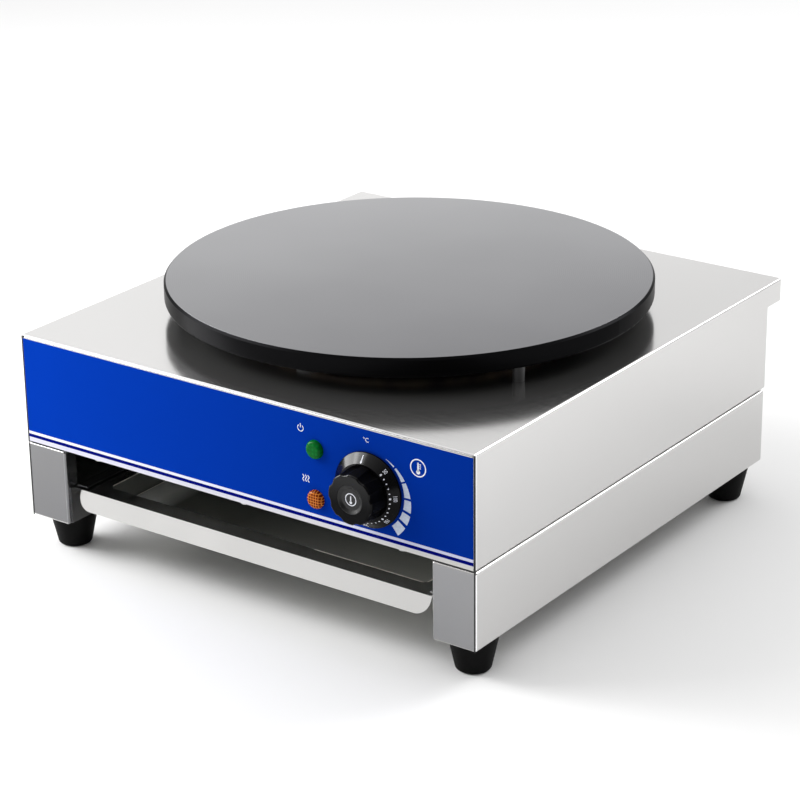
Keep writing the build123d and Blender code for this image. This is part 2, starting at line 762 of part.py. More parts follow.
capillary_place = (bulb_length / 2 + 2 * capillary_bend, plate_y - bulb_offset, dish_floor)
with BuildPart() as reflector_dish:
    dish_wall = dish_hole_radius - clearance_gap
    with BuildSketch(plate_section):
        with BuildLine():
            Polyline(
                (0, dish_floor),
                (dish_wall, dish_floor),
                (dish_wall, top_z),
                (dish_wall + dish_flange, top_z),
                (dish_wall + dish_flange, top_z + dish_sheet),
                (dish_wall - dish_sheet, top_z + dish_sheet),
                (dish_wall - dish_sheet, dish_floor + dish_sheet),
                (0, dish_floor + dish_sheet),
                close=True,
            )
        make_face()
    revolve(axis=plate_axis)
    with Locations(*all_legs):
        Cylinder(tube_radius + leg_hole_gap, 4 * leg_drop, mode=Mode.SUBTRACT)
    with Locations(capillary_place):
        Cylinder(capillary_hole_radius, 4 * dish_sheet, mode=Mode.SUBTRACT)
    with Locations(*around_plate(dish_screw_circle, dish_screw_count, dish_screw_angle, top_z)):
        Cylinder(m3_screw[0] + clearance_gap, 4 * dish_sheet, mode=Mode.SUBTRACT)
save(reflector_dish, "reflector_dish")

dish_seats = [
    facing(place, (0, 0, 1))
    for place in around_plate(dish_screw_circle, dish_screw_count, dish_screw_angle, top_z + dish_sheet)
]
save(screw_group(dish_seats, m3_screw), "dish_screws")

with BuildPart() as insulation_disc:
    with Locations((0, plate_y, dish_floor + dish_sheet)):
        Cylinder(dish_wall - dish_sheet - clearance_gap, insulation_height, align=floor_align)
    with Locations(*all_legs):
        Cylinder(tube_radius + seat_gap, 4 * leg_drop, mode=Mode.SUBTRACT)
    with Locations(capillary_place):
        Cylinder(capillary_hole_radius, 4 * insulation_height, mode=Mode.SUBTRACT)
save(insulation_disc, "insulation_disc")

# ---------------------------------------------------------------- thermostat, its bulb and its knob
with BuildPart() as thermostat_bulb:
    with BuildSketch(Plane.YZ.offset(-bulb_length / 2)):
        with Locations((bulb_y, bulb_z)):
            Circle(bulb_radius)
    extrude(amount=bulb_length)
    fillet(thermostat_bulb.edges(), radius=0.9 * bulb_radius)
save(thermostat_bulb, "thermostat_bulb")

with BuildPart() as bulb_clips:
    for clip_side in (-1, 1):
        with BuildSketch(Plane.YZ.offset(clip_side * clip_spacing / 2 - clip_width / 2)):
            with Locations((bulb_y, bulb_z)):
                Circle(bulb_radius + seat_gap + clip_sheet)
            with Locations((bulb_y, (bulb_z + recess_ceiling) / 2)):
                Rectangle(2 * (bulb_radius + seat_gap + clip_sheet), recess_ceiling - bulb_z)
            with Locations((bulb_y, recess_ceiling - clip_sheet / 2)):
                Rectangle(2 * (bulb_radius + clip_sheet + clip_foot), clip_sheet)
            with Locations((bulb_y, bulb_z)):
                Circle(bulb_radius + seat_gap, mode=Mode.SUBTRACT)
            with Locations((bulb_y, (bulb_z + recess_ceiling) / 2)):
                Rectangle(2 * (bulb_radius + seat_gap), recess_ceiling - bulb_z, mode=Mode.SUBTRACT)
            with Locations((bulb_y, recess_ceiling + bulb_radius)):
                Rectangle(4 * bulb_radius, 2 * bulb_radius, mode=Mode.SUBTRACT)
        extrude(amount=clip_width)
        with Locations((clip_side * clip_spacing / 2, clip_screw_y, recess_ceiling)):
            Cylinder(m3_screw[0] + clearance_gap, 4 * clip_sheet, mode=Mode.SUBTRACT)
save(bulb_clips, "bulb_clips")
save(screw_group(clip_seats, m3_screw), "clip_screws")

thermostat_front = front_y + steel_sheet
thermostat_rear = thermostat_front + thermostat_length
knob_front = front_y - knob_reach
with BuildPart() as thermostat_body:
    with Locations((knob_x, thermostat_front + thermostat_length / 2, control_z)):
        Box(thermostat_width, thermostat_length, thermostat_height)
    fillet(thermostat_body.edges().filter_by(Axis.Y), radius=fold_radius)
    with Locations(Location(facing((knob_x, thermostat_rear, control_z), (0, 1, 0)))):
        Cylinder(diaphragm_radius, diaphragm_height, align=floor_align)
    for tab_side in (-1, 1):
        tab_z = control_z + tab_side * tab_spread
        with Locations((knob_x - thermostat_width / 2, thermostat_rear - tab_spread, tab_z)):
            Box(2 * tab_length, tab_width, tab_sheet)
    shaft_seat = facing((knob_x, thermostat_front, control_z), (0, -1, 0))
    drill([shaft_seat], shaft_radius + shaft_gap, shaft_in_body + 1)
    drill(thermostat_seats, m4_screw[0] + thread_gap, m4_screw[3] + 1)
save(thermostat_body, "thermostat_body")
save(screw_group(thermostat_seats, m4_screw), "thermostat_screws")

capillary_z = control_z + thermostat_height / 4
capillary_end = (knob_x, thermostat_rear + diaphragm_height, control_z)
capillary_turn = capillary_end[1] + 5 * capillary_bend
capillary_route = [
    (bulb_length / 2, bulb_y, bulb_z),
    (capillary_place[0], bulb_y, bulb_z),
    (capillary_place[0], bulb_y, capillary_z),
    (knob_x, capillary_turn, control_z),
    capillary_end,
]
save(swept_tube(capillary_route, capillary_radius, capillary_bend), "thermostat_capillary")

grip_base = skirt_rise
grip_front = knob_reach - label_sheet
spigot_end = knob_gap + skirt_recess
shaft_outside = steel_sheet + knob_reach - cap_recess - 2 * cap_sheet
with BuildPart() as thermostat_shaft:
    with Locations(Location(facing((knob_x, thermostat_front + shaft_in_body, control_z), (0, -1, 0)))):
        Cylinder(shaft_radius, shaft_in_body + shaft_outside, align=floor_align)
    with Locations((knob_x, thermostat_front - shaft_outside, control_z + shaft_radius)):
        Box(4 * shaft_radius, 2 * shaft_outside, 2 * shaft_flat, mode=Mode.SUBTRACT)
save(thermostat_shaft, "thermostat_shaft")

with BuildPart() as knob_skirt:
    with BuildSketch(knob_section):
        with BuildLine():
            Polyline(
                (spigot_radius + thread_gap, knob_gap + skirt_recess),
                (skirt_recess_radius, knob_gap + skirt_recess),
                (skirt_recess_radius, knob_gap),
                (skirt_radius, knob_gap),
                (skirt_radius, knob_gap + skirt_edge),
                (grip_radius + grip_draft, skirt_rise),
                (spigot_radius + thread_gap, skirt_rise),
                close=True,
            )
        make_face()
    revolve(axis=knob_axis)
    skirt_rims = knob_skirt.edges().filter_by(GeomType.CIRCLE)
    fillet(skirt_rims.filter_by(lambda edge: edge.radius > skirt_radius - 0.1), radius=0.4 * skirt_edge)
save(knob_skirt, "knob_skirt")

scallop_reach = grip_radius + scallop_radius - scallop_depth
with BuildPart() as knob_grip:
    with BuildSketch(knob_section):
        with BuildLine():
            Polyline(
                (0, spigot_end),
                (spigot_radius, spigot_end),
                (spigot_radius, grip_base),
                (grip_radius, grip_base),
                (grip_radius - grip_draft, grip_front),
                (cap_radius + seat_gap, grip_front),
                (cap_radius + seat_gap, grip_front - cap_recess),
                (0, grip_front - cap_recess),
                close=True,
            )
        make_face()
    revolve(axis=knob_axis)
    with BuildSketch(facing_front(label_y - grip_base)):
        with Locations((knob_x, control_z)):
            with PolarLocations(scallop_reach, scallop_count, start_angle=scallop_angle):
                Circle(scallop_radius)
    extrude(amount=2 * (grip_front - grip_base), mode=Mode.SUBTRACT)
    grip_rim = knob_grip.faces().sort_by(Axis.Y)[0].outer_wire().edges()
    fillet(grip_rim, radius=grip_edge)
    with BuildSketch(facing_front(label_y - spigot_end)):
        with Locations((knob_x, control_z)):
            Circle(shaft_radius + thread_gap)
        with Locations((knob_x, control_z + shaft_radius + thread_gap)):
            Rectangle(4 * shaft_radius, 2 * shaft_flat, mode=Mode.SUBTRACT)
    extrude(amount=grip_front - cap_recess - cap_sheet - spigot_end, mode=Mode.SUBTRACT)
save(knob_grip, "knob_grip")

with BuildPart() as knob_cap:
    with BuildSketch(knob_section):
        with BuildLine():
            Polyline(
                (0, grip_front - cap_recess),
                (cap_radius, grip_front - cap_recess),
                (cap_radius, grip_front - cap_sink),
                (dish_radius, grip_front - cap_sink),
                (dish_floor_radius, grip_front - cap_recess + cap_sheet),
                (0, grip_front - cap_recess + cap_sheet),
                close=True,
            )
        make_face()
    revolve(axis=knob_axis)
save(knob_cap, "knob_cap")

# ---------------------------------------------------------------- pilot lamps
for lamp_name, lamp_seat in lamp_seats.items():
    lamp_z = lamp_places[lamp_name]
    with BuildPart() as lens:
        with Locations(Location(lamp_seat.offset(label_sheet))):
            Cylinder(lens_radius, lens_rise, align=floor_align)
        fillet(lens.faces().sort_by(Axis.Y)[0].edges(), radius=lens_dome)
        with Locations(Location(lamp_seat.offset(label_sheet))):
            Cylinder(lens_plug_radius, lens_plug_length, align=ceiling_align)
    save(lens, f"{lamp_name}_lens")
    with BuildPart() as lamp_body:
        with Locations(Location(lamp_seat.offset(label_sheet))):
            Cylinder(lamp_body_radius, lamp_body_length, align=ceiling_align)
            Cylinder(lens_plug_radius + seat_gap / 2, 2 * (lens_plug_length + 1), mode=Mode.SUBTRACT)
        for tab_side in (-1, 1):
            with Locations((lamp_x + tab_side * lamp_tab_spread, label_y + lamp_body_length, lamp_z)):
                Box(tab_sheet, 2 * tab_length, lamp_tab_width)
    save(lamp_body, f"{lamp_name}_body")

lamp_clip_seats = [facing((lamp_x, front_y + steel_sheet, z), (0, 1, 0)) for z in lamp_places.values()]
with BuildPart() as lamp_clips:
    for clip_seat in lamp_clip_seats:
        with BuildSketch(clip_seat):
            Circle(lamp_clip_radius)
            Circle(lamp_body_radius + thread_gap, mode=Mode.SUBTRACT)
        extrude(amount=lamp_clip_sheet)
save(lamp_clips, "lamp_clips")

# ---------------------------------------------------------------- supply inlet and terminals
with BuildPart() as cable_gland:
    with BuildSketch(gland_seat):
        RegularPolygon(gland_hex / 2, 6, major_radius=False)
    extrude(amount=gland_hex_height)
    with Locations(Location(gland_seat)):
        Cylinder(gland_dome_radius, gland_hex_height + gland_dome_height, align=floor_align)
        Cylinder(gland_thread_radius, gland_tail, align=ceiling_align)
    fillet(cable_gland.faces().sort_by(Axis.Y)[-1].edges(), radius=gland_dome_height / 4)
    drill([gland_seat], gland_bore_radius, gland_hex_height + gland_dome_height + gland_tail)
save(cable_gland, "cable_gland")
save(
    nut_group([gland_inner_seat], locknut_hex, locknut_height, gland_thread_radius + thread_gap),
    "gland_locknut",
)

with BuildPart() as earth_stud:
    with Locations(Location(earth_seat)):
        Cylinder(earth_stud_radius, earth_stud_length)
save(earth_stud, "earth_stud")
earth_nut_seats = [earth_seat, earth_inner_seat, earth_inner_seat.offset(earth_nut_height + ring_sheet)]
earth_nuts = nut_group(earth_nut_seats, earth_nut_hex, earth_nut_height, earth_stud_radius + thread_gap)
save(earth_nuts, "earth_stud_nuts")

block_y = rear_y - block_setback
block_top = housing_bottom + block_height
pole_z = housing_bottom + wire_height
pole_x = [block_x + (step - (pole_count - 1) / 2) * pole_spacing for step in range(pole_count)]
block_screw_z = pole_z + wire_radius + seat_gap / 2 + m3_screw[3]
block_seats = [
    facing((x, block_y + side * block_width / 4, block_screw_z), (0, 0, 1))
    for x in pole_x
    for side in (-1, 1)
]
with BuildPart() as terminal_block:
    with Locations((block_x, block_y, housing_bottom)):
        Box(block_length, block_width, block_height, align=floor_align)
    fillet(terminal_block.edges().filter_by(Axis.Z), radius=fold_radius)
    drill(block_seats, m3_screw[0] + thread_gap, m3_screw[3])
    with Locations(*[Location(seat) for seat in block_seats]):
        Cylinder(m3_screw[1] + clearance_gap, block_height, align=floor_align, mode=Mode.SUBTRACT)
    with BuildSketch(facing_front(block_y)):
        with Locations(*[(x, pole_z) for x in pole_x]):
            Circle(pole_radius)
    extrude(amount=block_width, both=True, mode=Mode.SUBTRACT)
save(terminal_block, "terminal_block")
save(screw_group(block_seats, m3_screw), "terminal_screws")


# ---------------------------------------------------------------- internal wiring
def crimped_wires(runs, sockets):
    """Wires, each a (points, radius, bend) run, with a push-on receptacle on each (plane, tab width) socket."""
    with BuildPart() as wires:
        for points, radius, bend in runs:
            add(swept_tube(points, radius, bend).part)
        for seat, width in sockets:
            with Locations(Location(seat.offset(socket_gap))):
                Box(
                    width + 2 * socket_wall,
                    tab_sheet + 2 * socket_wall,
                    tab_length + socket_end - socket_gap,
                    align=floor_align,
                )
                Box(width + seat_gap, tab_sheet + seat_gap, 2 * tab_length, mode=Mode.SUBTRACT)
    return wires


def leg_socket(place):
    """The plane on the collar of a cold end, looking down along its tab."""
    x, y, z = place
    return Plane(origin=(x, y, z - terminal_collar_height), x_dir=(1, 0, 0), z_dir=(0, 0, -1))


def thermostat_socket(side):
    """The plane on the thermostat's left face, looking out along its upper (+1) or lower (-1) tab."""
    place = (knob_x - thermostat_width / 2, tab_y, control_z + side * tab_spread)
    return Plane(origin=place, x_dir=(0, 1, 0), z_dir=(-1, 0, 0))


def lamp_socket(side, z):
    """The plane on the back of a lamp, looking out along its left (-1) or right (+1) tab."""
    place = (lamp_x + side * lamp_tab_spread, label_y + lamp_body_length, z)
    return Plane(origin=place, x_dir=(0, 0, 1), z_dir=(0, 1, 0))


tab_y = thermostat_rear - tab_spread
outer_left, outer_right = leg_places(outer_loop_radius, leg_bottom)
inner_left, inner_right = leg_places(inner_loop_radius, leg_bottom)
crimp_z = leg_bottom - terminal_collar_height - tab_length - socket_end
link_z = crimp_z - link_drop
crimp_x = knob_x - thermostat_width / 2 - tab_length - socket_end
lamp_crimp_y = label_y + lamp_body_length + tab_length + socket_end
live_z = control_z + tab_spread
switched_z = control_z - tab_spread
main_y = tab_y - crimp_split
lead_y = tab_y + crimp_split
loom_y = lamp_crimp_y + 3 * wire_bend
lead_x = crimp_x - lamp_wire_bend - crimp_split
power_z = lamp_places["power_lamp"]
heat_z = lamp_places["heat_lamp"]
left_tab_x = lamp_x - lamp_tab_spread
right_tab_x = lamp_x + lamp_tab_spread
turn_y = lamp_crimp_y + 2 * lamp_wire_bend + crimp_split
chain_z = heat_z + lamp_wire_radius + seat_gap
return_z = heat_z - lamp_wire_radius - seat_gap

live_run = [
    (pole_x[0], block_y, pole_z),
    (pole_x[0], loom_y, pole_z),
    (lamp_x - 1.5 * wire_bend, loom_y, pole_z),
    (lamp_x - 1.5 * wire_bend, loom_y, live_z),
    (lamp_x - 1.5 * wire_bend, main_y, live_z),
    (crimp_x + crimp_depth, main_y, live_z),
]
power_lead = [
    (crimp_x + crimp_depth, lead_y, live_z),
    (lead_x, lead_y, live_z),
    (lead_x, turn_y, live_z),
    (lead_x, turn_y, power_z),
    (right_tab_x, turn_y, power_z),
    (right_tab_x, lamp_crimp_y - crimp_depth, power_z),
]
live_wire = crimped_wires(
    [(live_run, wire_radius, wire_bend), (power_lead, lamp_wire_radius, lamp_wire_bend)],
    [(thermostat_socket(1), tab_width), (lamp_socket(1, power_z), lamp_tab_width)],
)
save(live_wire, "live_wire")

switched_x = crimp_x - wire_bend - crimp_depth
switched_y = loom_y + 2 * wire_bend
main_left_x = inner_left[0] - crimp_split
switched_run = [
    (crimp_x + crimp_depth, main_y, switched_z),
    (switched_x, main_y, switched_z),
    (switched_x, switched_y, switched_z),
    (main_left_x, switched_y, link_z),
    (main_left_x, inner_left[1], link_z),
    (main_left_x, inner_left[1], crimp_z + crimp_depth),
]
left_link_x = inner_left[0] + crimp_split
left_link = [
    (left_link_x, inner_left[1], crimp_z + crimp_depth),
    (left_link_x, inner_left[1], link_z),
    (left_link_x, outer_left[1], link_z),
    (left_link_x, outer_left[1], crimp_z + crimp_depth),
]
heat_lead = [
    (crimp_x + crimp_depth, lead_y, switched_z),
    (lead_x, lead_y, switched_z),
    (lead_x, turn_y, switched_z),
    (lead_x, turn_y, heat_z),
    (right_tab_x, turn_y, heat_z),
    (right_tab_x, lamp_crimp_y - crimp_depth, heat_z),
]
switched_wires = crimped_wires(
    [
        (switched_run, wire_radius, wire_bend),
        (left_link, wire_radius, wire_bend),
        (heat_lead, lamp_wire_radius, lamp_wire_bend),
    ],
    [
        (thermostat_socket(-1), tab_width),
        (leg_socket(inner_left), tab_width),
        (leg_socket(outer_left), tab_width),
        (lamp_socket(1, heat_z), lamp_tab_width),
    ],
)
save(switched_wires, "switched_wires")

neutral_y = block_y - 4.6 * wire_bend
main_right_x = outer_right[0] + crimp_split
neutral_run = [
    (pole_x[1], block_y, pole_z),
    (pole_x[1], neutral_y, pole_z),
    (main_right_x, neutral_y, pole_z),
    (main_right_x, outer_right[1], pole_z),
    (main_right_x, outer_right[1], crimp_z + crimp_depth),
]
right_link_x = outer_right[0] - crimp_split
right_link = [
    (right_link_x, outer_right[1], crimp_z + crimp_depth),
    (right_link_x, outer_right[1], link_z),
    (right_link_x, inner_right[1], link_z),
    (right_link_x, inner_right[1], crimp_z + crimp_depth),
]
return_x = inner_right[0] + crimp_split
return_y = turn_y + lamp_wire_bend
lamp_return = [
    (return_x, inner_right[1], crimp_z + crimp_depth),
    (return_x, inner_right[1], return_z),
    (return_x, return_y, return_z),
    (left_tab_x, return_y, return_z),
    (left_tab_x, lamp_crimp_y - crimp_depth, return_z),
]
lamp_chain = [
    (left_tab_x, lamp_crimp_y - crimp_depth, chain_z),
    (left_tab_x, turn_y, chain_z),
    (left_tab_x, turn_y, power_z),
    (left_tab_x, lamp_crimp_y - crimp_depth, power_z),
]
neutral_wires = crimped_wires(
    [
        (neutral_run, wire_radius, wire_bend),
        (right_link, wire_radius, wire_bend),
        (lamp_return, lamp_wire_radius, lamp_wire_bend),
        (lamp_chain, lamp_wire_radius, lamp_wire_bend),
    ],
    [
        (leg_socket(outer_right), tab_width),
        (leg_socket(inner_right), tab_width),
        (lamp_socket(-1, heat_z), lamp_tab_width),
        (lamp_socket(-1, power_z), lamp_tab_width),
    ],
)
save(neutral_wires, "neutral_wires")

ring_y = rear_y - steel_sheet - earth_nut_height - ring_sheet / 2
barrel_z = earth_z - ring_radius - ring_sheet - barrel_length / 2
earth_turn_y = block_y - 3 * wire_bend
earth_run = [
    (pole_x[2], block_y, pole_z),
    (pole_x[2], earth_turn_y, pole_z),
    (earth_x, earth_turn_y, pole_z),
    (earth_x, ring_y, pole_z),
    (earth_x, ring_y, barrel_z),
]
with BuildPart() as earth_wire:
    add(swept_tube(earth_run, wire_radius, wire_bend).part)
    with Locations((earth_x, ring_y, barrel_z)):
        Cylinder(barrel_radius, barrel_length)
    with Locations((earth_x, ring_y, (earth_z + barrel_z) / 2)):
        Box(2 * barrel_radius, ring_sheet, earth_z - barrel_z)
    with Locations(Location(facing((earth_x, ring_y, earth_z), (0, 1, 0)))):
        Cylinder(ring_radius, ring_sheet)
        Cylinder(earth_stud_radius + thread_gap, 2 * ring_sheet, mode=Mode.SUBTRACT)
save(earth_wire, "earth_wire")
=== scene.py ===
# %% [markdown]
# # An electric crepe maker, dressed in Blender
#
# The machine is a low stainless steel housing with a round cast iron griddle plate held above it
# on three posts, a blue printed front panel with a thermostat knob and two lamps, and a shallow
# steel tray that slides out under the panel. Its shape is already fixed: it was drawn as solids
# and comes in as the frame. What is left for Blender is what light does to it, so this lesson
# spends its time on finishes and on printed marks, and it adds nothing that moves or changes size.

# %% Load the frame
import json
import math

import bpy
import numpy as np
from mathutils import Matrix, Vector


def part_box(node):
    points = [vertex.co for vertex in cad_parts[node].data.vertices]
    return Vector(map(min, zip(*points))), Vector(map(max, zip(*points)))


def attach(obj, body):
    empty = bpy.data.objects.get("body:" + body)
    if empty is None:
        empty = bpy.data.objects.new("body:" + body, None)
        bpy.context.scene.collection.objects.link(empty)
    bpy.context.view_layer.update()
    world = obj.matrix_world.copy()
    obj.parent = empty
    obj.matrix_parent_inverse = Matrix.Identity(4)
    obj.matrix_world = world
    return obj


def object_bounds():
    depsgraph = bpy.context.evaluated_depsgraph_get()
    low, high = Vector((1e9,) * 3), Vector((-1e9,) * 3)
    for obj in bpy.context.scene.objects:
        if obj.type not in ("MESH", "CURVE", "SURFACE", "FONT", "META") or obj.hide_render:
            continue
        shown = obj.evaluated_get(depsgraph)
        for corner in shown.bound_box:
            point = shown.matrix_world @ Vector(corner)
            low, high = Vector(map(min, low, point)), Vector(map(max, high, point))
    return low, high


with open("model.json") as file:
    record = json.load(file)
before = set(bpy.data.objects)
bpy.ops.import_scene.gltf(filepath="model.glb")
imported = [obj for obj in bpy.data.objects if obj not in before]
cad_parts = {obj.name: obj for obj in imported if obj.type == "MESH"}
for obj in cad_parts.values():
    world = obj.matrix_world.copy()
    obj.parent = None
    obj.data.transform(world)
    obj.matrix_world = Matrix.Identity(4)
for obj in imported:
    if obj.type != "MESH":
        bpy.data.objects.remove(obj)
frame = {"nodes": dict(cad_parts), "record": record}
NODES = frame["nodes"]
CAD_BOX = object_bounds()
MM = 0.001
print("pieces in the frame:", len(NODES))
print("size in mm:", [round((high - low) / MM, 1) for low, high in zip(*CAD_BOX)])

# %% [markdown]
# ## Camera
#
# A maker's picture of a counter machine is taken from the front right and a little above, with a
# long lens so that the housing stays straight. A camera could be aimed with a Track To constraint,
# but three angles and a place say the same thing and leave nothing live in the file. The three
# axes of the camera are worked out from the angles and put into its matrix as columns.

# %% Camera from three angles
AZIMUTH, ELEVATION, ROLL = np.radians([35.94, 21.91, -0.7])
CAMERA_AT = np.array([1.19483, -1.65145, 0.92718])
FOCAL_PIXELS, FRAME_PIXELS = 2652.7, 800

back = np.array([math.sin(AZIMUTH) * math.cos(ELEVATION),
                 -math.cos(AZIMUTH) * math.cos(ELEVATION),
                 math.sin(ELEVATION)])
level = np.array([math.cos(AZIMUTH), math.sin(AZIMUTH), 0.0])
upward = np.cross(back, level)
right = level * math.cos(ROLL) + upward * math.sin(ROLL)
up = upward * math.cos(ROLL) - level * math.sin(ROLL)

lens = bpy.data.cameras.new("long_lens")
lens.sensor_width = 36.0
lens.lens = lens.sensor_width * FOCAL_PIXELS / FRAME_PIXELS
lens.clip_end = 50.0
camera = bpy.data.objects.new("camera", lens)
bpy.context.scene.collection.objects.link(camera)
turned = Matrix([[right[i], up[i], back[i], CAMERA_AT[i]] for i in range(3)] + [[0, 0, 0, 1]])
camera.matrix_world = turned
bpy.context.scene.camera = camera
print("lens in mm:", round(lens.lens, 1))

# %% [markdown]
# ## Colours and nodes
#
# Colours are written down as the hex codes that a paint or printer's chart gives. Those are sRGB,
# and the shaders want linear light, so one function turns them. A second function adds a node with
# its settings and its links in one call, which keeps each finish below to a few lines.

# %% Two helpers for every finish
def linear(code):
    """sRGB hex to linear light: each channel c becomes ((c + 0.055) / 1.055) to the power 2.4,
    or c / 12.92 where it is very dark."""
    parts = np.array([int(code[i:i + 2], 16) for i in (1, 3, 5)]) / 255
    bright = ((parts + 0.055) / 1.055) ** 2.4
    return (*np.where(parts <= 0.04045, parts / 12.92, bright).tolist(), 1.0)


def add(tree, kind, inputs=None, **settings):
    """Adds a node of this kind. Settings are its own properties. Inputs name its sockets: one that
    is given another node's output is linked to it, and any other takes the value."""
    made = tree.nodes.new(kind)
    for name, value in settings.items():
        setattr(made, name, value)
    for socket, value in (inputs or {}).items():
        if isinstance(value, bpy.types.NodeSocket):
            tree.links.new(value, made.inputs[socket])
        else:
            made.inputs[socket].default_value = value
    return made


print("a mid grey, #808080, in linear light:", round(linear("#808080")[0], 3))

# %% [markdown]
# ## A finish, and its grain
#
# Every finish starts as Blender's Principled shader with plain values. What makes it look made of
# something is variation: rolling lines, moulding texture, turning marks. All of them are noise
# stretched to a real size, so one function makes noise whose grains are so many millimetres long
# along X, Y and Z of the piece. It reads Object coordinates, which stay fixed to the metal when
# the tray slides or the knob turns.
#
# A pattern is a number from 0 to 1 at each point, and a finish needs it as a roughness, a colour or
# a relief. The function graded carries a number from one end to another, and the ends may be
# numbers, hex codes or patterns themselves; emboss lets the light catch it. Two more give the
# place of a point and the direction of its face, for what differs from one side of a piece to the
# other.

# %% Shader and grain
def finish(name, colour, metallic=0.0, roughness=0.5, **sockets):
    """A material with the Principled shader. Sockets are given by name, with _ for a space."""
    made = bpy.data.materials.new(name)
    made.use_nodes = True
    shader = made.node_tree.nodes["Principled BSDF"]
    shader.inputs["Base Color"].default_value = linear(colour)
    shader.inputs["Metallic"].default_value = metallic
    shader.inputs["Roughness"].default_value = roughness
    for socket, value in sockets.items():
        shader.inputs[socket.replace("_", " ")].default_value = value
    return made, made.node_tree, shader


def grain(tree, lengths, detail=2.0):
    """Noise with grains of these lengths in mm: the place in metres, times 1000 over the length."""
    where = add(tree, "ShaderNodeTexCoord").outputs["Object"]
    sized = add(tree, "ShaderNodeMapping",
                {"Vector": where, "Scale": [1 / (MM * length) for length in lengths]})
    noise = add(tree, "ShaderNodeTexNoise",
                {"Vector": sized.outputs["Vector"], "Scale": 1.0, "Detail": detail})
    return noise.outputs["Fac"]


print("grains of 5 mm repeat", round(1 / (MM * 5)), "times in a metre")

# %% Patterns onto the shader
NOISE_LOW, NOISE_HIGH = 0.25, 0.75


def graded(tree, value, first, second, start=0.0, end=1.0):
    """The first up to where the value reaches start, the second from where it reaches end, and
    mixed between: first + (second - first) * (value - start) / (end - start). Each of the two is
    a number, a hex code or another node's output."""
    ends = [linear(given) if isinstance(given, str) else given for given in (first, second)]
    coloured = any(isinstance(given, tuple) or getattr(given, "type", "") == "RGBA"
                   for given in ends)
    kind, sockets, result = ("RGBA", (6, 7), 2) if coloured else ("FLOAT", (2, 3), 0)
    share = add(tree, "ShaderNodeMapRange", {"Value": value, "From Min": start, "From Max": end})
    mixed = add(tree, "ShaderNodeMix", {0: share.outputs["Result"], sockets[0]: ends[0],
                                        sockets[1]: ends[1]}, data_type=kind)
    return mixed.outputs[result]


def roughen(tree, shader, value, low, high):
    """Lets the roughness follow a noise, from low to high over the noise's middle half."""
    rough = graded(tree, value, low, high, NOISE_LOW, NOISE_HIGH)
    tree.links.new(rough, shader.inputs["Roughness"])


def emboss(tree, shader, value, depth, strength=1.0):
    """Lets the light catch a pattern as relief of this depth in mm."""
    bump = add(tree, "ShaderNodeBump", {"Height": value, "Distance": depth * MM,
                                        "Strength": strength})
    tree.links.new(bump.outputs["Normal"], shader.inputs["Normal"])


def tint(tree, shader, value, colours, start=0.3, end=0.7):
    """Lets the base colour follow a pattern, from the first colour to the second."""
    tree.links.new(graded(tree, value, *colours, start, end), shader.inputs["Base Color"])


print("most of a noise lies from", NOISE_LOW, "to", NOISE_HIGH)

# %% Place and direction on a piece
def place_in(tree):
    """The place of a point, as X, Y and Z in metres."""
    where = add(tree, "ShaderNodeTexCoord").outputs["Object"]
    return add(tree, "ShaderNodeSeparateXYZ", {"Vector": where}).outputs


def facing_in(tree):
    """The direction that a face looks in, as X, Y and Z of an arrow one unit long."""
    normal = add(tree, "ShaderNodeNewGeometry").outputs["Normal"]
    return add(tree, "ShaderNodeSeparateXYZ", {"Vector": normal}).outputs


FINISHES = {}
SLOT_OF = {piece["node"]: piece["material_slot"] for piece in frame["record"]["subparts"]}
print("finishes to make:", len(set(SLOT_OF.values())))

# %% [markdown]
# ## Stainless steel sheet
#
# The housing is folded from stainless sheet with a fine brushed grain. On a real sheet the grain
# is hairlines a few hundredths of a millimetre apart. Those are far too fine to see from two
# metres away, so the lines are drawn 0.9 mm apart. The sheet was laid so that its grain runs along
# X on the top and front and along Y on the sides. Two stretched noises give the two directions,
# and the face's own direction picks between them. An anisotropic shader could do it too, but it
# needs a tangent on every face and is harder to carry to other programs. The scratches also
# scatter a little light, which is the small share that isn't metallic. Light and shade are also
# painted into the colour: the outside is painted a little brighter towards the front left, and a
# white painted highlight runs along the front edge of each side. The fronts of the legs and
# everything inside the base are painted a darker grey, as painted shade. The left side stands in
# the full light of two softboxes, so its sheet is given a darker grey, or it would burn out to
# plain white.

# %% Brushed stainless steel
SIDE_ON = 0.7


def on_a_side(tree):
    """1 where a face looks to the left or the right, and 0 elsewhere."""
    sideways = add(tree, "ShaderNodeMath", {0: facing_in(tree)["X"]}, operation="ABSOLUTE")
    return add(tree, "ShaderNodeMath", {0: sideways.outputs[0], 1: SIDE_ON},
               operation="GREATER_THAN").outputs[0]


def brushed(tree, spacing, length):
    """Hairlines this far apart and this long, in mm: along Y on the left and right sides, and
    along X everywhere else."""
    along_x = grain(tree, (length, spacing, spacing))
    along_y = grain(tree, (spacing, length, spacing))
    return graded(tree, on_a_side(tree), along_x, along_y)


steel, tree, shader = finish("brushed_stainless_steel", "#DDDCDB", 0.94)
FINISHES["stainless_steel"] = steel
hairlines = brushed(tree, 0.9, 70.0)
roughen(tree, shader, hairlines, 0.12, 0.19)
emboss(tree, shader, hairlines, 0.0006)
print("the steel has", len(tree.nodes), "nodes so far")
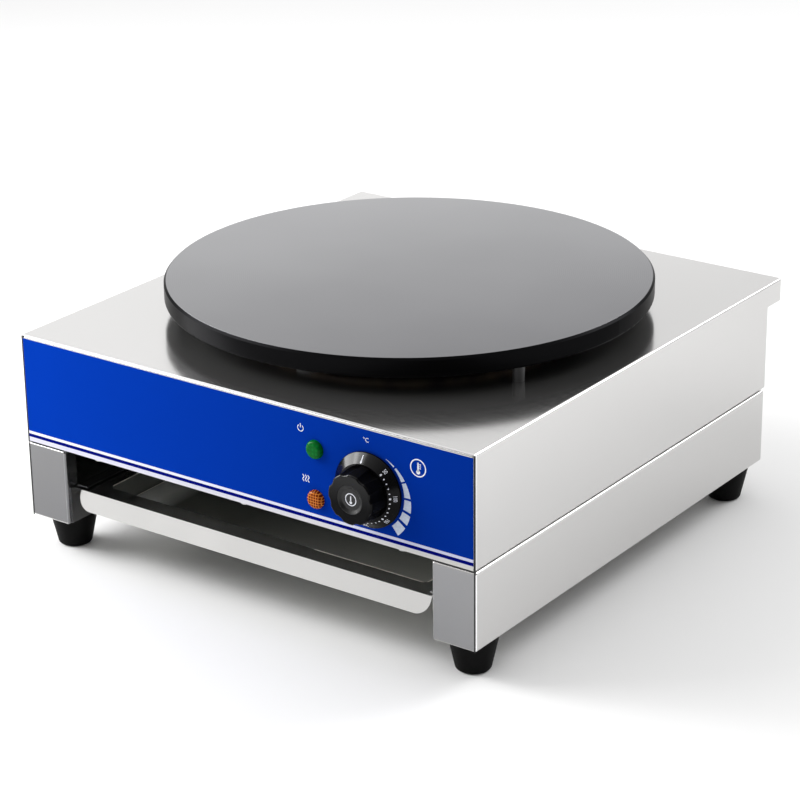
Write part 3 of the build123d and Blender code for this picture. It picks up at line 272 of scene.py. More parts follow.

# %% Where shade is painted on the sheet
BASE_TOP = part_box("left_base_channel")[1].z
INNER_FACE, FRONT_ON = 182.0 * MM, -0.95
# Mask for painted shade: below the base's top, on faces that look to the front or lie inside the
# base.
place, facing = place_in(tree), facing_in(tree)
from_middle = add(tree, "ShaderNodeMath", {0: place["X"]}, operation="ABSOLUTE")
inside = add(tree, "ShaderNodeMath", {0: from_middle.outputs[0], 1: INNER_FACE},
             operation="LESS_THAN")
to_front = add(tree, "ShaderNodeMath", {0: facing["Y"], 1: FRONT_ON}, operation="LESS_THAN")
either = add(tree, "ShaderNodeMath", {0: inside.outputs[0], 1: to_front.outputs[0]},
             operation="MAXIMUM")
low = add(tree, "ShaderNodeMath", {0: place["Z"], 1: BASE_TOP}, operation="LESS_THAN")
painted_shade_mask = add(tree, "ShaderNodeMath", {0: low.outputs[0], 1: either.outputs[0]},
                 operation="MULTIPLY")
print("mill finish below z in mm:", round(BASE_TOP / MM, 1))

# %% Tones of the sheet, with painted light
PANEL_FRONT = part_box("front_panel")[0].y
EDGE_HIGHLIGHT_WIDTH, NEAR_EDGE = 1.6 * MM, 200 * MM
# Painted light on the sides: brighter towards the front; the left side is painted a darker grey.
side_painted_light = graded(tree, place["Y"], "#E6E5E4", "#CDCCCB", -NEAR_EDGE, NEAR_EDGE)
on_left = add(tree, "ShaderNodeMath", {0: facing["X"], 1: -SIDE_ON}, operation="LESS_THAN")
side_painted_light = graded(tree, on_left.outputs[0], side_painted_light, "#A0A09F")
# Painted highlight: a white strip along the front edge of each side.
painted_edge_highlight = add(tree, "ShaderNodeMath", {0: place["Y"], 1: PANEL_FRONT + EDGE_HIGHLIGHT_WIDTH},
               operation="LESS_THAN")
side_painted_light = graded(tree, painted_edge_highlight.outputs[0], side_painted_light, "#FFFFFF")
# Painted light on the top: brighter towards the left.
top_painted_light = graded(tree, place["X"], "#DDDCDB", "#CCCBCA", -NEAR_EDGE / 2, NEAR_EDGE)
tone_with_painted_light = graded(tree, on_a_side(tree), top_painted_light, side_painted_light)
# Painted shade: the leg fronts and the inside of the base get a darker grey, darkest at the left.
painted_shade_tone = graded(tree, place["X"], "#818182", "#9A9A9B", -NEAR_EDGE, NEAR_EDGE)
tree.links.new(graded(tree, painted_shade_mask.outputs[0], tone_with_painted_light, painted_shade_tone),
               shader.inputs["Base Color"])
print("the steel has", len(tree.nodes), "nodes in all")

# %% [markdown]
# ## Polished steel tray
#
# The tray is stainless too, but it is bought in with a bright finish, so its lines are fainter and
# its reflections sharper. Handling and wiping leave a slight haze in broad patches, which is a
# second, larger noise on the roughness. Inside the pan the steel is made less of a metal, and its
# grey carries painted shade and light: darkest left of the middle and lighter to the right, with
# a painted light strip along the left wall.

# %% Polished steel
polished, tree, shader = finish("polished_stainless_steel", "#F7F6F4", 1.0)
FINISHES["polished_steel"] = polished
haze = grain(tree, (40, 40, 40), 3.0)
roughen(tree, shader, haze, 0.12, 0.22)
emboss(tree, shader, brushed(tree, 0.9, 50.0), 0.002)
print("the tray's steel has", len(tree.nodes), "nodes so far")

# %% Where the pan is
TRAY_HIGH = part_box("drawer_tray")[1].z
FLANGE_WIDTH, RIM_DROP, RIM_REACH = 26.5 * MM, 0.5 * MM, 1.5 * MM
PAN_FRONT = PANEL_FRONT + FLANGE_WIDTH
place = place_in(tree)
below = add(tree, "ShaderNodeMath", {0: place["Z"], 1: TRAY_HIGH - RIM_DROP},
            operation="LESS_THAN")
behind = add(tree, "ShaderNodeMath", {0: place["Y"], 1: PAN_FRONT - RIM_REACH},
             operation="GREATER_THAN")
in_pan = add(tree, "ShaderNodeMath", {0: below.outputs[0], 1: behind.outputs[0]},
             operation="MULTIPLY").outputs[0]
print("the pan starts at y in mm:", round(PAN_FRONT / MM, 1))

# %% Painted shade and light in the pan
WALL_FOOT, STRIP_END = (-154.5 * MM, -154 * MM), (-135 * MM, -115 * MM)
SHADE_DARKEST_X, SHADE_LIGHTEST_X = -50 * MM, 160 * MM
# Painted shade and light: the pan's grey runs from dark left of the middle to light at the right,
# and a strip by the left wall is painted light.
pan_painted_shade = graded(tree, place["X"], "#74746E", "#D2D2CA", SHADE_DARKEST_X, SHADE_LIGHTEST_X)
painted_light_strip = graded(tree, place["X"], "#92928C", "#EEEEE8", *WALL_FOOT)
pan_painted_tone = graded(tree, place["X"], painted_light_strip, pan_painted_shade, *STRIP_END)
tree.links.new(graded(tree, in_pan, "#F7F6F4", pan_painted_tone), shader.inputs["Base Color"])
tree.links.new(graded(tree, in_pan, 1.0, 0.25), shader.inputs["Metallic"])
print("the tray's steel has", len(tree.nodes), "nodes in all")

# %% [markdown]
# ## Zinc and plain steel
#
# The inner chassis and the clamp bars are zinc plated sheet: a duller, slightly blue grey with the
# faint cloudy spangle of the plating bath. The screws and nuts are bright zinc, and the posts,
# studs and shafts are turned from steel bar and blackened, which keeps a trace of the tool.

# %% Zinc sheet, zinc screws, turned steel
zinc, tree, shader = finish("zinc_plated_sheet", "#C9CBCB", 0.75)
spangle = grain(tree, (7, 7, 7), 4.0)
roughen(tree, shader, spangle, 0.42, 0.58)
tint(tree, shader, spangle, ("#C0C3C3", "#D2D4D3"))
FINISHES["zinc_sheet"] = zinc

screws, tree, shader = finish("bright_zinc_screws", "#CBCDCC", 1.0)
roughen(tree, shader, grain(tree, (1.5, 1.5, 1.5)), 0.22, 0.34)
FINISHES["zinc_fasteners"] = screws

turned_steel, tree, shader = finish("blackened_steel_bar", "#626263", 0.7)
tool_marks = grain(tree, (30, 30, 0.8))
roughen(tree, shader, tool_marks, 0.34, 0.48)
emboss(tree, shader, tool_marks, 0.004)
FINISHES["post_steel"] = turned_steel
print("finishes so far:", len(FINISHES))

# %% [markdown]
# ## Cast iron griddle plate
#
# The plate is cast iron. Its top is turned flat on a lathe and burnished by use to a satin grey,
# while its rim and its underside keep the black of the baked oil. One material can hold both: a
# step on the height of the face picks the turned top, and the chamfer below it stays black. The
# lathe leaves rings around the centre of the plate, a tenth of a millimetre apart. They are drawn
# 1.6 mm apart here so that they can just be seen. The top's grey also carries painted light:
# brighter towards the left rear and darker towards the right front, with broad random patches.

# %% Turned top and seasoned rim
plate_low, plate_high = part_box("griddle_plate")
PLATE_CENTRE = (plate_low + plate_high) / 2
WAVE_PERIOD, RING_PITCH, BEVEL_DROP, TOP_DROP = 0.314, 1.6 * MM, 0.08 * MM, 0.02 * MM
iron, tree, shader = finish("seasoned_cast_iron", "#9A9A9A", 1.0)
FINISHES["plate_iron"] = iron
where = add(tree, "ShaderNodeTexCoord").outputs["Object"]
centred = add(tree, "ShaderNodeVectorMath",
              {0: where, 1: (PLATE_CENTRE.x, PLATE_CENTRE.y, 0.0)}, operation="SUBTRACT")
rings = add(tree, "ShaderNodeTexWave",
            {"Vector": centred.outputs[0], "Scale": WAVE_PERIOD / RING_PITCH, "Distortion": 1.5,
             "Detail": 2.0, "Detail Scale": 2.0}, wave_type="RINGS", rings_direction="Z")
pores = grain(tree, (2.5, 2.5, 2.5), 3.0)
emboss(tree, shader, pores, 0.0006)
height = add(tree, "ShaderNodeSeparateXYZ", {"Vector": where}).outputs["Z"]
step = plate_high.z - BEVEL_DROP, plate_high.z - TOP_DROP
top_rough = graded(tree, rings.outputs["Fac"], 0.33, 0.38)
rim_rough = graded(tree, pores, 0.28, 0.32, NOISE_LOW, NOISE_HIGH)
tree.links.new(graded(tree, height, rim_rough, top_rough, *step), shader.inputs["Roughness"])
print("turned top at z in mm:", round(plate_high.z / MM, 1))

# %% Painted light across the top
LIT_TOWARD, LIT_SPAN, UNEVEN_BY = (-0.82, 0.57, 0.0), 200 * MM, 30 * MM
across = add(tree, "ShaderNodeVectorMath", {0: centred.outputs[0], 1: LIT_TOWARD},
             operation="DOT_PRODUCT").outputs["Value"]
patches = grain(tree, (150, 150, 150))
uneven = graded(tree, patches, -UNEVEN_BY, UNEVEN_BY, NOISE_LOW, NOISE_HIGH)
lit_and_patches = add(tree, "ShaderNodeMath", {0: across, 1: uneven}, operation="ADD").outputs[0]
# Painted light: the turned top's grey runs from dark at the right front to bright at the left rear,
# shifted by random patches.
turned_painted_light = graded(tree, lit_and_patches, "#77777A", "#A7A7A9", -LIT_SPAN, LIT_SPAN)
tree.links.new(graded(tree, height, "#111112", turned_painted_light, *step), shader.inputs["Base Color"])
tree.links.new(graded(tree, height, "#C4C4C4", "#FFFFFF", *step), shader.inputs["Specular Tint"])
print("the iron has", len(tree.nodes), "nodes")

# %% [markdown]
# ## Printed front label
#
# The blue panel is a polyester film, printed on its back and stuck to the steel, so its colour
# sits under a smooth clear face. Its lines are bands at fixed heights: a pale line, a navy one and
# a white one along the bottom, and blue above. They could be thin strips of mesh, but the print
# has no thickness, so a stepped colour ramp on the height draws them in the material. Painted
# shade darkens the print towards the knob at the right, where the blue is deeper, the white bluer
# and the pale greyer.

# %% Blue film with printed bands
LABEL_LOW, LABEL_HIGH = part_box("front_label")
film, tree, shader = finish("printed_polyester_film", "#0639AE", 0.0, 0.3,
                            Specular_IOR_Level=0.0)
FINISHES["label_film"] = film
roughen(tree, shader, grain(tree, (1.2, 1.2, 1.2)), 0.26, 0.34)
emboss(tree, shader, grain(tree, (30, 30, 30)), 0.02)
across, _, height = place_in(tree)
BANDS = [(94.8, "#DEDDEE"), (98.3, "#050F74"), (101.1, "#F2F3FA"), (103.6, "#0639AE")]
position = graded(tree, height, 0.0, 1.0, LABEL_LOW.z, LABEL_HIGH.z)
ramp = add(tree, "ShaderNodeValToRGB", {"Fac": position})
ramp.color_ramp.interpolation = "CONSTANT"
for index, (start, code) in enumerate(BANDS):
    place = max(0.0, (start * MM - LABEL_LOW.z) / (LABEL_HIGH.z - LABEL_LOW.z))
    stops = ramp.color_ramp.elements
    stop = stops[index] if index < 2 else stops.new(place)
    stop.position = place
    stop.color = linear(code)
print("bands start at z in mm:", [start for start, _ in BANDS])

# %% Painted shade towards the knob
NAVY_START, BLUE_START, STEP = BANDS[1][0] * MM, BANDS[3][0] * MM, 0.1 * MM
SHADE_FROM_X, SHADE_FULL_X = -200 * MM, 220 * MM
# Painted shade: a tint for each band, multiplied into the print more and more towards the right.
painted_shade_lines = graded(tree, height, "#F2F2DC", "#D6D8EC", NAVY_START - STEP, NAVY_START)
painted_shade_by_band = graded(tree, height, painted_shade_lines, "#D2D4D4", BLUE_START - STEP, BLUE_START)
shade = graded(tree, across, "#FFFFFF", painted_shade_by_band, SHADE_FROM_X, SHADE_FULL_X)
print_and_painted_shade = add(tree, "ShaderNodeMix", {0: 1.0, 6: ramp.outputs["Color"], 7: shade},
                 data_type="RGBA", blend_type="MULTIPLY")
tree.links.new(print_and_painted_shade.outputs[2], shader.inputs["Base Color"])
print("the film has", len(tree.nodes), "nodes")

# %% [markdown]
# ## Moulded plastics and rubber
#
# The knob is moulded from a hard black thermoset that stands the heat. Its skirt and its front
# come glossy from a polished mould, and the sides of the grip are left matt so that fingers hold
# on to them. Its lower half reflects less, as painted shade. The cap in its middle is a softer
# black, the gland and the lamp bodies are black nylon, and the feet are matt rubber with a fine
# sand texture from the mould.

# %% Knob
knob_low, knob_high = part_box("knob_skirt")
KNOB_CENTRE = (knob_low + knob_high) / 2
GRIP_ON = -0.4
knob_black, tree, shader = finish("black_thermoset", "#050506")
FINISHES["knob_plastic"] = knob_black
gripped = add(tree, "ShaderNodeMath", {0: facing_in(tree)["Y"], 1: GRIP_ON},
              operation="GREATER_THAN").outputs[0]
polish = graded(tree, grain(tree, (6, 6, 6), 3.0), 0.14, 0.2, NOISE_LOW, NOISE_HIGH)
tree.links.new(graded(tree, gripped, polish, 0.55), shader.inputs["Roughness"])
# Painted shade: the knob's reflection is weaker on its lower half.
shade_below = KNOB_CENTRE.z - 5 * MM, KNOB_CENTRE.z + 15 * MM
gloss_shaded_below = graded(tree, place_in(tree)["Z"], 0.07, 0.25, *shade_below)
tree.links.new(graded(tree, gripped, gloss_shaded_below, 0.05), shader.inputs["Specular IOR Level"])
print("the knob shines above z in mm:", round(shade_below[1] / MM, 1))

# %% Cap, gland, lamp bodies and feet
cap_black, tree, shader = finish("black_abs_cap", "#050505", Specular_IOR_Level=0.4)
roughen(tree, shader, grain(tree, (2, 2, 2), 3.0), 0.26, 0.4)
FINISHES["cap_plastic"] = cap_black

nylon, tree, shader = finish("black_nylon", "#202022", IOR=1.53)
roughen(tree, shader, grain(tree, (1.5, 1.5, 1.5)), 0.42, 0.56)
emboss(tree, shader, grain(tree, (0.9, 0.9, 0.9)), 0.006)
FINISHES["gland_plastic"] = nylon
FINISHES["lamp_plastic"] = nylon

rubber, tree, shader = finish("moulded_rubber", "#020202", IOR=1.5, Specular_IOR_Level=0.1)
sand = grain(tree, (0.9, 0.9, 0.9), 3.0)
roughen(tree, shader, sand, 0.5, 0.68)
emboss(tree, shader, sand, 0.02)
FINISHES["foot_rubber"] = rubber
print("finishes so far:", len(FINISHES))

# %% [markdown]
# ## Lamp lenses
#
# Both lamps are tinted polycarbonate. The inside of a lens is moulded in ribs so that the small
# bulb behind it spreads over the whole face, and from outside this shows as a net of light and
# dark. Two waves at right angles draw it: the larger of the two at each point leaves bright lines
# round dark cells, as in the amber lens, and their product leaves soft bright spots, as in the
# green one.

# %% Green and orange lenses
def lens_finish(name, dark, bright, pitch, relief, joined, start):
    """Tinted lens: two waves across each other, this far apart in mm, mix a dark and a bright
    from the start value up, and the same net stands out by this share of an eighth of a
    millimetre."""
    made, tree, shader = finish(name, dark, 0.0, 0.12, Specular_IOR_Level=0.08)
    where = add(tree, "ShaderNodeTexCoord").outputs["Object"]
    waves = [add(tree, "ShaderNodeTexWave", {"Vector": where, "Scale": WAVE_PERIOD / (pitch * MM)},
                 wave_type="BANDS", bands_direction=axis).outputs["Fac"] for axis in "XZ"]
    net = add(tree, "ShaderNodeMath", {0: waves[0], 1: waves[1]}, operation=joined)
    tint(tree, shader, net.outputs[0], (dark, bright), start, 1.0)
    emboss(tree, shader, net.outputs[0], 0.12, relief)
    return made


FINISHES["green_lens"] = lens_finish("green_polycarbonate", "#006020", "#04742A", 3.4, 0.1,
                                     "MULTIPLY", 0.0)
FINISHES["orange_lens"] = lens_finish("amber_polycarbonate", "#6A2000", "#E08634", 2.2, 0.5,
                                      "MAXIMUM", 0.8)
print("finishes so far:", len(FINISHES))

# %% [markdown]
# ## Inner workings
#
# Under the top are the things a repairer meets: sheathed heating elements darkened by heat, a dull
# aluminised dish that throws the heat up, mineral wool, a copper sensing bulb with its capillary,
# ceramic terminals, brass studs, and sleeved wires in the usual colours for live, switched,
# neutral and earth. They are hidden in use, and they still get their own finishes, because the
# part may be opened.

# %% Heat side: sheath, dish, wool, ceramic
sheath, tree, shader = finish("heat_darkened_sheath", "#5B534C", 1.0)
heat_bands = grain(tree, (18, 18, 18), 3.0)
roughen(tree, shader, heat_bands, 0.4, 0.58)
tint(tree, shader, heat_bands, ("#4A423E", "#76685A"))
FINISHES["element_sheath"] = sheath

dish, tree, shader = finish("aluminised_steel", "#C2C3C2", 1.0)
roughen(tree, shader, grain(tree, (9, 9, 9), 4.0), 0.3, 0.5)
emboss(tree, shader, grain(tree, (5, 5, 5)), 0.01)
FINISHES["aluminised_sheet"] = dish

wool, tree, shader = finish("mineral_wool_felt", "#C9B98C", 0.0, 0.95)
fibres = grain(tree, (6.0, 1.2, 1.2), 5.0)
tint(tree, shader, fibres, ("#A99A6E", "#DDD0A8"))
emboss(tree, shader, fibres, 0.5)
FINISHES["mineral_wool"] = wool

ceramic, tree, shader = finish("steatite_ceramic", "#ECE8DD", IOR=1.6)
roughen(tree, shader, grain(tree, (2, 2, 2)), 0.3, 0.44)
emboss(tree, shader, grain(tree, (1.2, 1.2, 1.2)), 0.01)
FINISHES["terminal_ceramic"] = ceramic
print("finishes so far:", len(FINISHES))

# %% Control side: copper, brass, thermostat case
copper, tree, shader = finish("drawn_copper", "#C27C5E", 1.0)
tarnish = grain(tree, (12, 12, 12), 3.0)
roughen(tree, shader, tarnish, 0.28, 0.44)
tint(tree, shader, tarnish, ("#A8644A", "#CF8C6C"))
FINISHES["copper_tube"] = copper

brass, tree, shader = finish("turned_brass", "#D1B06A", 1.0)
roughen(tree, shader, grain(tree, (1.5, 1.5, 1.5)), 0.24, 0.36)
FINISHES["brass_fittings"] = brass

case, tree, shader = finish("thermostat_phenolic", "#D9D6CC", IOR=1.55)
roughen(tree, shader, grain(tree, (2, 2, 2)), 0.4, 0.55)
emboss(tree, shader, grain(tree, (1.5, 1.5, 1.5)), 0.01)
FINISHES["thermostat_case"] = case
print("finishes so far:", len(FINISHES))

# %% [markdown]
# ## Wire sleeves
#
# The leads inside run in woven glass sleeves that stand the heat. The weave is about half a
# millimetre across; here it is drawn 1 mm across so that it shows.

# %% Woven glass sleeves
for slot, name, pale, deep in [("live_sleeve", "brown_glass_sleeve", "#7A4A2C", "#5A321C"),
                               ("switched_sleeve", "black_glass_sleeve", "#343436", "#1C1C1E"),
                               ("neutral_sleeve", "blue_glass_sleeve", "#3C6FB8", "#28508C"),
                               ("earth_sleeve", "green_glass_sleeve", "#5FA046", "#3F7A2C")]:
    sleeve, tree, shader = finish(name, pale, 0.0, 0.7)
    weave = grain(tree, (1.0, 1.0, 1.0), 1.0)
    tint(tree, shader, weave, (deep, pale))
    emboss(tree, shader, weave, 0.08)
    FINISHES[slot] = sleeve
print("slots without a finish:", len(set(SLOT_OF.values()) - set(FINISHES)))

# %% [markdown]
# ## Finishes onto the pieces
#
# Each solid came in with one plain material, named for the slot that it was given when it was
# drawn. The record says which piece has which slot, so a loop over the record dresses them all,
# and nothing is left plain.

# %% Dress every piece
for piece, thing in NODES.items():
    thing.data.materials.clear()
    thing.data.materials.append(FINISHES[SLOT_OF[piece]])
print("pieces dressed:", len(NODES), "with", len(set(SLOT_OF.values())), "finishes")

# %% [markdown]
# ## Printed marks
#
# The white marks on the panel, the dial and the knob's cap are ink. Ink could be drawn in the
# material, but rings, ticks and digits are clearer as shapes, so each mark is a thin flat mesh
# that lies a few hundredths of a millimetre above what it is printed on. A mark is worked out
# flat, as x and z, and then a function of x and z says how far forward the surface is there. That
# one step lets the same ring or digit lie on the flat panel or on the dial's cone.

# %% Flat shapes on a grid
def grid_faces(rows, columns):
    """Four-sided faces of a grid of points, wound so that they face the front."""
    corner = (np.arange(rows - 1)[:, None] * columns + np.arange(columns - 1)[None, :]).ravel()
    return np.stack([corner, corner + 1, corner + columns + 1, corner + columns], axis=1)


def facing_front(points, faces):
    """Turns each face whose normal would point away from the front: one whose corners, seen
    from the front, run clockwise."""
    x, z = points[faces, 0], points[faces, 1]
    area = np.sum(x * np.roll(z, -1, axis=1) - np.roll(x, -1, axis=1) * z, axis=1)
    return np.where(area[:, None] > 0, faces, faces[:, ::-1])


def arc_band(centre, inner, outer, start, end, steps=32):
    """A band between two radii: x = cx + r cos(angle), z = cz + r sin(angle). A radius may be a
    number or a function of the angle in degrees."""
    angle = np.linspace(start, end, steps)
    radii = [r(angle) if callable(r) else np.full(steps, float(r)) for r in (inner, outer)]
    share = np.linspace(0, 1, 3)[:, None]
    radius = radii[0] * (1 - share) + radii[1] * share
    turn = np.radians(angle)
    points = np.stack([centre[0] + radius * np.cos(turn), centre[1] + radius * np.sin(turn)], -1)
    points = points.reshape(-1, 2)
    return points, facing_front(points, grid_faces(3, steps))


def dot(centre, radius, steps=7):
    """A disc without a pole: a square grid u, v from -1 to 1 is bent to
    x = u times the root of (1 - v squared / 2), and z the same way round."""
    u, v = np.meshgrid(np.linspace(-1, 1, steps), np.linspace(-1, 1, steps))
    points = np.stack([centre[0] + radius * u * np.sqrt(1 - v * v / 2),
                       centre[1] + radius * v * np.sqrt(1 - u * u / 2)], -1).reshape(-1, 2)
    return points, facing_front(points, grid_faces(steps, steps))


def stroke(path, width):
    """A line of this width along a path: each point is set off by half the width to both sides,
    square to the direction there."""
    path = np.asarray(path, float)
    along = np.gradient(path, axis=0)
    along /= np.linalg.norm(along, axis=1)[:, None]
    aside = np.stack([-along[:, 1], along[:, 0]], -1) * width / 2
    points = np.concatenate([path - aside, path, path + aside])
    return points, facing_front(points, grid_faces(3, len(path)))


def bar(start, end, width):
    """A straight stroke from one point to another."""
    return stroke(np.linspace(start, end, 3), width)


print("a dot has", len(dot((0, 0), 1)[1]), "faces")

# %% Digits and signs from Blender's own font
def word(text, centre, size, turn=0.0):
    """Digits or a sign made a mesh, then turned and moved as points: x, z = centre + rotation
    of the letter's own x, y. The turn is in degrees, anticlockwise from the front."""
    curve = bpy.data.curves.new("digits", "FONT")
    curve.body = text
    curve.size = size
    curve.align_x = "CENTER"
    curve.align_y = "CENTER"
    curve.resolution_u = 4
    carrier = bpy.data.objects.new("digits", curve)
    bpy.context.scene.collection.objects.link(carrier)
    bpy.context.view_layer.update()
    flat = bpy.data.meshes.new_from_object(carrier)
    flat.calc_loop_triangles()
    points = np.zeros(len(flat.vertices) * 3)
    flat.vertices.foreach_get("co", points)
    faces = np.zeros(len(flat.loop_triangles) * 3, np.int32)
    flat.loop_triangles.foreach_get("vertices", faces)
    bpy.data.objects.remove(carrier)
    bpy.data.curves.remove(curve)
    bpy.data.meshes.remove(flat)
    points, faces = points.reshape(-1, 3)[:, :2], faces.reshape(-1, 3)
    c, s = math.cos(math.radians(turn)), math.sin(math.radians(turn))
    points = points @ np.array([[c, s], [-s, c]]) + np.array(centre)
    return points, facing_front(points, faces)


print("the number 50 has", len(word("50", (0, 0), 1)[1]), "faces")

# %% Shapes onto a surface
INK_LIFT = 0.06


def flat_at(depth):
    """A flat surface at this y in mm, for a mark that is one ink's thickness in front of it."""
    return lambda x, z: np.full(len(x), depth - INK_LIFT)


def print_marks(name, marks, depth, ink, body, lying=False):
    """One mesh of many flat marks. Each point (x, z) in mm goes to (x, depth(x, z), z), in metres,
    or, where the marks lie down, each (x, y) goes to (x, y, depth(x, y)). The piece rides on the
    body that it is printed on."""
    points, faces, count = [], [], 0
    for flat, sides in marks:
        columns = [flat[:, 0], flat[:, 1]]
        columns.insert(2 if lying else 1, depth(*columns))
        points.append(np.stack(columns, -1) * MM)
        faces += (sides + count).tolist()
        count += len(flat)
    mesh = bpy.data.meshes.new(name)
    mesh.from_pydata(np.concatenate(points).tolist(), [], faces)
    mesh.materials.append(ink)
    thing = bpy.data.objects.new(name, mesh)
    bpy.context.scene.collection.objects.link(thing)
    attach(thing, body)
    facing = [round(number, 2) for number in mesh.polygons[0].normal]
    print(name, "has", len(faces), "faces, the first facing", facing)


print("ink stands out by mm:", INK_LIFT)

# %% Inks and painted seam shadow
white_ink, tree, shader = finish("white_screen_ink", "#EDEFF6", 0.0, 0.45)
tint(tree, shader, grain(tree, (2, 2, 2)), ("#E2E5F0", "#F4F5FA"))
grey_ink, tree, shader = finish("pale_blue_screen_ink", "#C6D0E4", 0.0, 0.45)
tint(tree, shader, grain(tree, (2, 2, 2)), ("#BCC8DE", "#CFD8EA"))

# Painted shadow: a black finish for the dark lines in the seams.
seam_shadow_finish, tree, shader = finish("painted_seam_shadow", "#0A0A0A", 0.0, 0.6)
emboss(tree, shader, grain(tree, (3, 3, 3)), 0.02)
print("to print with:", white_ink.name, grey_ink.name, seam_shadow_finish.name)

# %% [markdown]
# ## Painted shadows in the seams
#
# A thin black strip is laid as painted shadow in the seam at each end of the panel and down each
# leg, and another in the gap over each leg. A strip this thin shows no height, so it is laid on
# like the ink. The legs' fronts are flush with the panel, so one flat surface serves both.

# %% Strips of painted seam shadow
SEAM_X, SEAMS, SEAM_WIDTH = 219.1, ((28.6, 93.2), (93.4, 185.6)), 1.5
GAP_Z, GAP_INNER, GAP_OUTER, GAP_WIDTH = 94.0, 181.0, 218.3, 1.2
seams = [bar((side * SEAM_X, low), (side * SEAM_X, high), SEAM_WIDTH)
         for side in (-1, 1) for low, high in SEAMS]
seams += [bar((side * GAP_INNER, GAP_Z), (side * GAP_OUTER, GAP_Z), GAP_WIDTH)
          for side in (-1, 1)]
print_marks("seam_shadow_strips", seams, flat_at(PANEL_FRONT / MM), seam_shadow_finish, "housing")

# %% [markdown]
# ## Marks on the panel
#
# Round the knob runs a band that widens clockwise, in six fields, and says that the plate gets
# hotter that way. Its inner edge is a circle round the knob, and its outer edge is a circle whose
# centre is set off towards the hot end, so it widens smoothly. A thermometer in a ring stands
# beside it, and small signs for standby and heat stand over the two lamps.

# %% Widening band
KNOB = (KNOB_CENTRE.x / MM, KNOB_CENTRE.z / MM)
LABEL_FACE = LABEL_LOW.y / MM
BAND_INNER, BAND_OUTER, OFFSET, HOT_ANGLE = 31.7, 34.8, 5.4, -57
FIELDS = [(61, 46), (43, 23.7), (21.3, 2), (-1, -15.7), (-19.3, -31.8), (-36, -50.4)]


def hot_edge(angle):
    """Radius from the knob to the outer circle, whose centre is set off towards the hot angle:
    the offset times the cosine, plus the root of the circle's radius squared less (offset times
    sine) squared."""
    apart = np.radians(angle - HOT_ANGLE)
    return OFFSET * np.cos(apart) + np.sqrt(BAND_OUTER ** 2 - (OFFSET * np.sin(apart)) ** 2)


band = [arc_band(KNOB, BAND_INNER, hot_edge, start, end, 12) for start, end in FIELDS]
print_marks("hotter_band", band, flat_at(LABEL_FACE), grey_ink, "housing")

# %% Standby and heat signs
POWER_LAMP, HEAT_LAMP = [sum(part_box(lens), Vector()) / 2 / MM
                         for lens in ("power_lamp_lens", "heat_lamp_lens")]
STANDBY, WARMTH, SIGN_STROKE = (POWER_LAMP.x - 13.6, 171.2), (HEAT_LAMP.x - 9.6, 131.2), 0.7
RING_INNER, RING_OUTER, RING_START, RING_END, ROD_LOW, ROD_HIGH = 2.3, 2.9, 125, 415, 0.4, 3.8
HALF_RISE, SWAY, PER_MM, WAVE_GAP = 2.8, 0.6, 1.6, 2.4
rod = [(STANDBY[0], STANDBY[1] + rise) for rise in (ROD_LOW, ROD_HIGH)]
signs = [arc_band(STANDBY, RING_INNER, RING_OUTER, RING_START, RING_END, 25),
         bar(*rod, SIGN_STROKE)]
rise = np.linspace(-HALF_RISE, HALF_RISE, 15)
for shift in (-WAVE_GAP, 0.0, WAVE_GAP):
    across = WARMTH[0] + shift + SWAY * np.sin(rise * PER_MM)
    signs.append(stroke(np.stack([across, WARMTH[1] + rise], -1), SIGN_STROKE))
print("signs in", len(signs), "strokes")

# %% Thermometer and degree sign
THERMOMETER, RING_SIZE = (169.8, 164.5), 7.1
UNIT, UNIT_SIZE = (KNOB[0] - 2.4, 175.5), 5.0


def thermometer(centre, size, ticks=True):
    """A bulb, a stem and a rounded end, with three ticks, in a ring: all as shares of the ring."""
    x, z = centre
    marks = [arc_band(centre, size * 0.87, size, 0, 360, 49),
             dot((x, z - size * 0.46), size * 0.24),
             bar((x, z - size * 0.4), (x, z + size * 0.52), size * 0.2),
             dot((x, z + size * 0.52), size * 0.1, 5)]
    heights = (0.42, 0.2, -0.02) if ticks else ()
    return marks + [bar((x + size * 0.16, z + size * h), (x + size * 0.36, z + size * h),
                        size * 0.09) for h in heights]


signs += thermometer(THERMOMETER, RING_SIZE) + [word("\u00b0C", UNIT, UNIT_SIZE)]
print_marks("panel_signs", signs, flat_at(LABEL_FACE), white_ink, "housing")

# %% [markdown]
# ## Dial on the knob's skirt
#
# The skirt under the knob is a shallow cone, and its scale is printed on the cone: a dot every ten
# degrees of heat, a larger one at each fifty, and the number outside it. A mark's depth on the
# cone follows from its distance to the knob's axis. The dial turns with the knob.

# %% Dots and numbers on the cone
CONE = ((30.0, 2.6), (22.8, 8.6))
COLDEST, HOTTEST, DEGREES_PER_DOT, DEGREES_PER_NUMBER = 50, 300, 10, 50
FIRST_ANGLE, DOT_STEP, POINTER_ANGLE = 48.0, 9.28, 94
DOT_RADIUS, NUMBER_RADIUS, NUMBER_SIZE = 24.2, 27.1, 3.4
SMALL_DOT, LARGE_DOT, POINTER_DOT = 0.5, 0.75, 0.8
POINTER_AT, POINTER_FROM, POINTER_TO, POINTER_WIDTH = 24.1, 24.7, 28.4, 0.7


def on_cone(x, z):
    """Forward of the label by the cone's height there: a straight line between the skirt's outer
    and inner edge, in the distance to the axis, plus the ink."""
    radius = np.hypot(x - KNOB[0], z - KNOB[1])
    (wide, near), (narrow, far) = CONE
    return LABEL_FACE - (near + (wide - radius) * (far - near) / (wide - narrow)) - INK_LIFT


def around_knob(radius, angle):
    """A point at this distance and angle from the knob's axis."""
    turn = math.radians(angle)
    return (KNOB[0] + radius * math.cos(turn), KNOB[1] + radius * math.sin(turn))


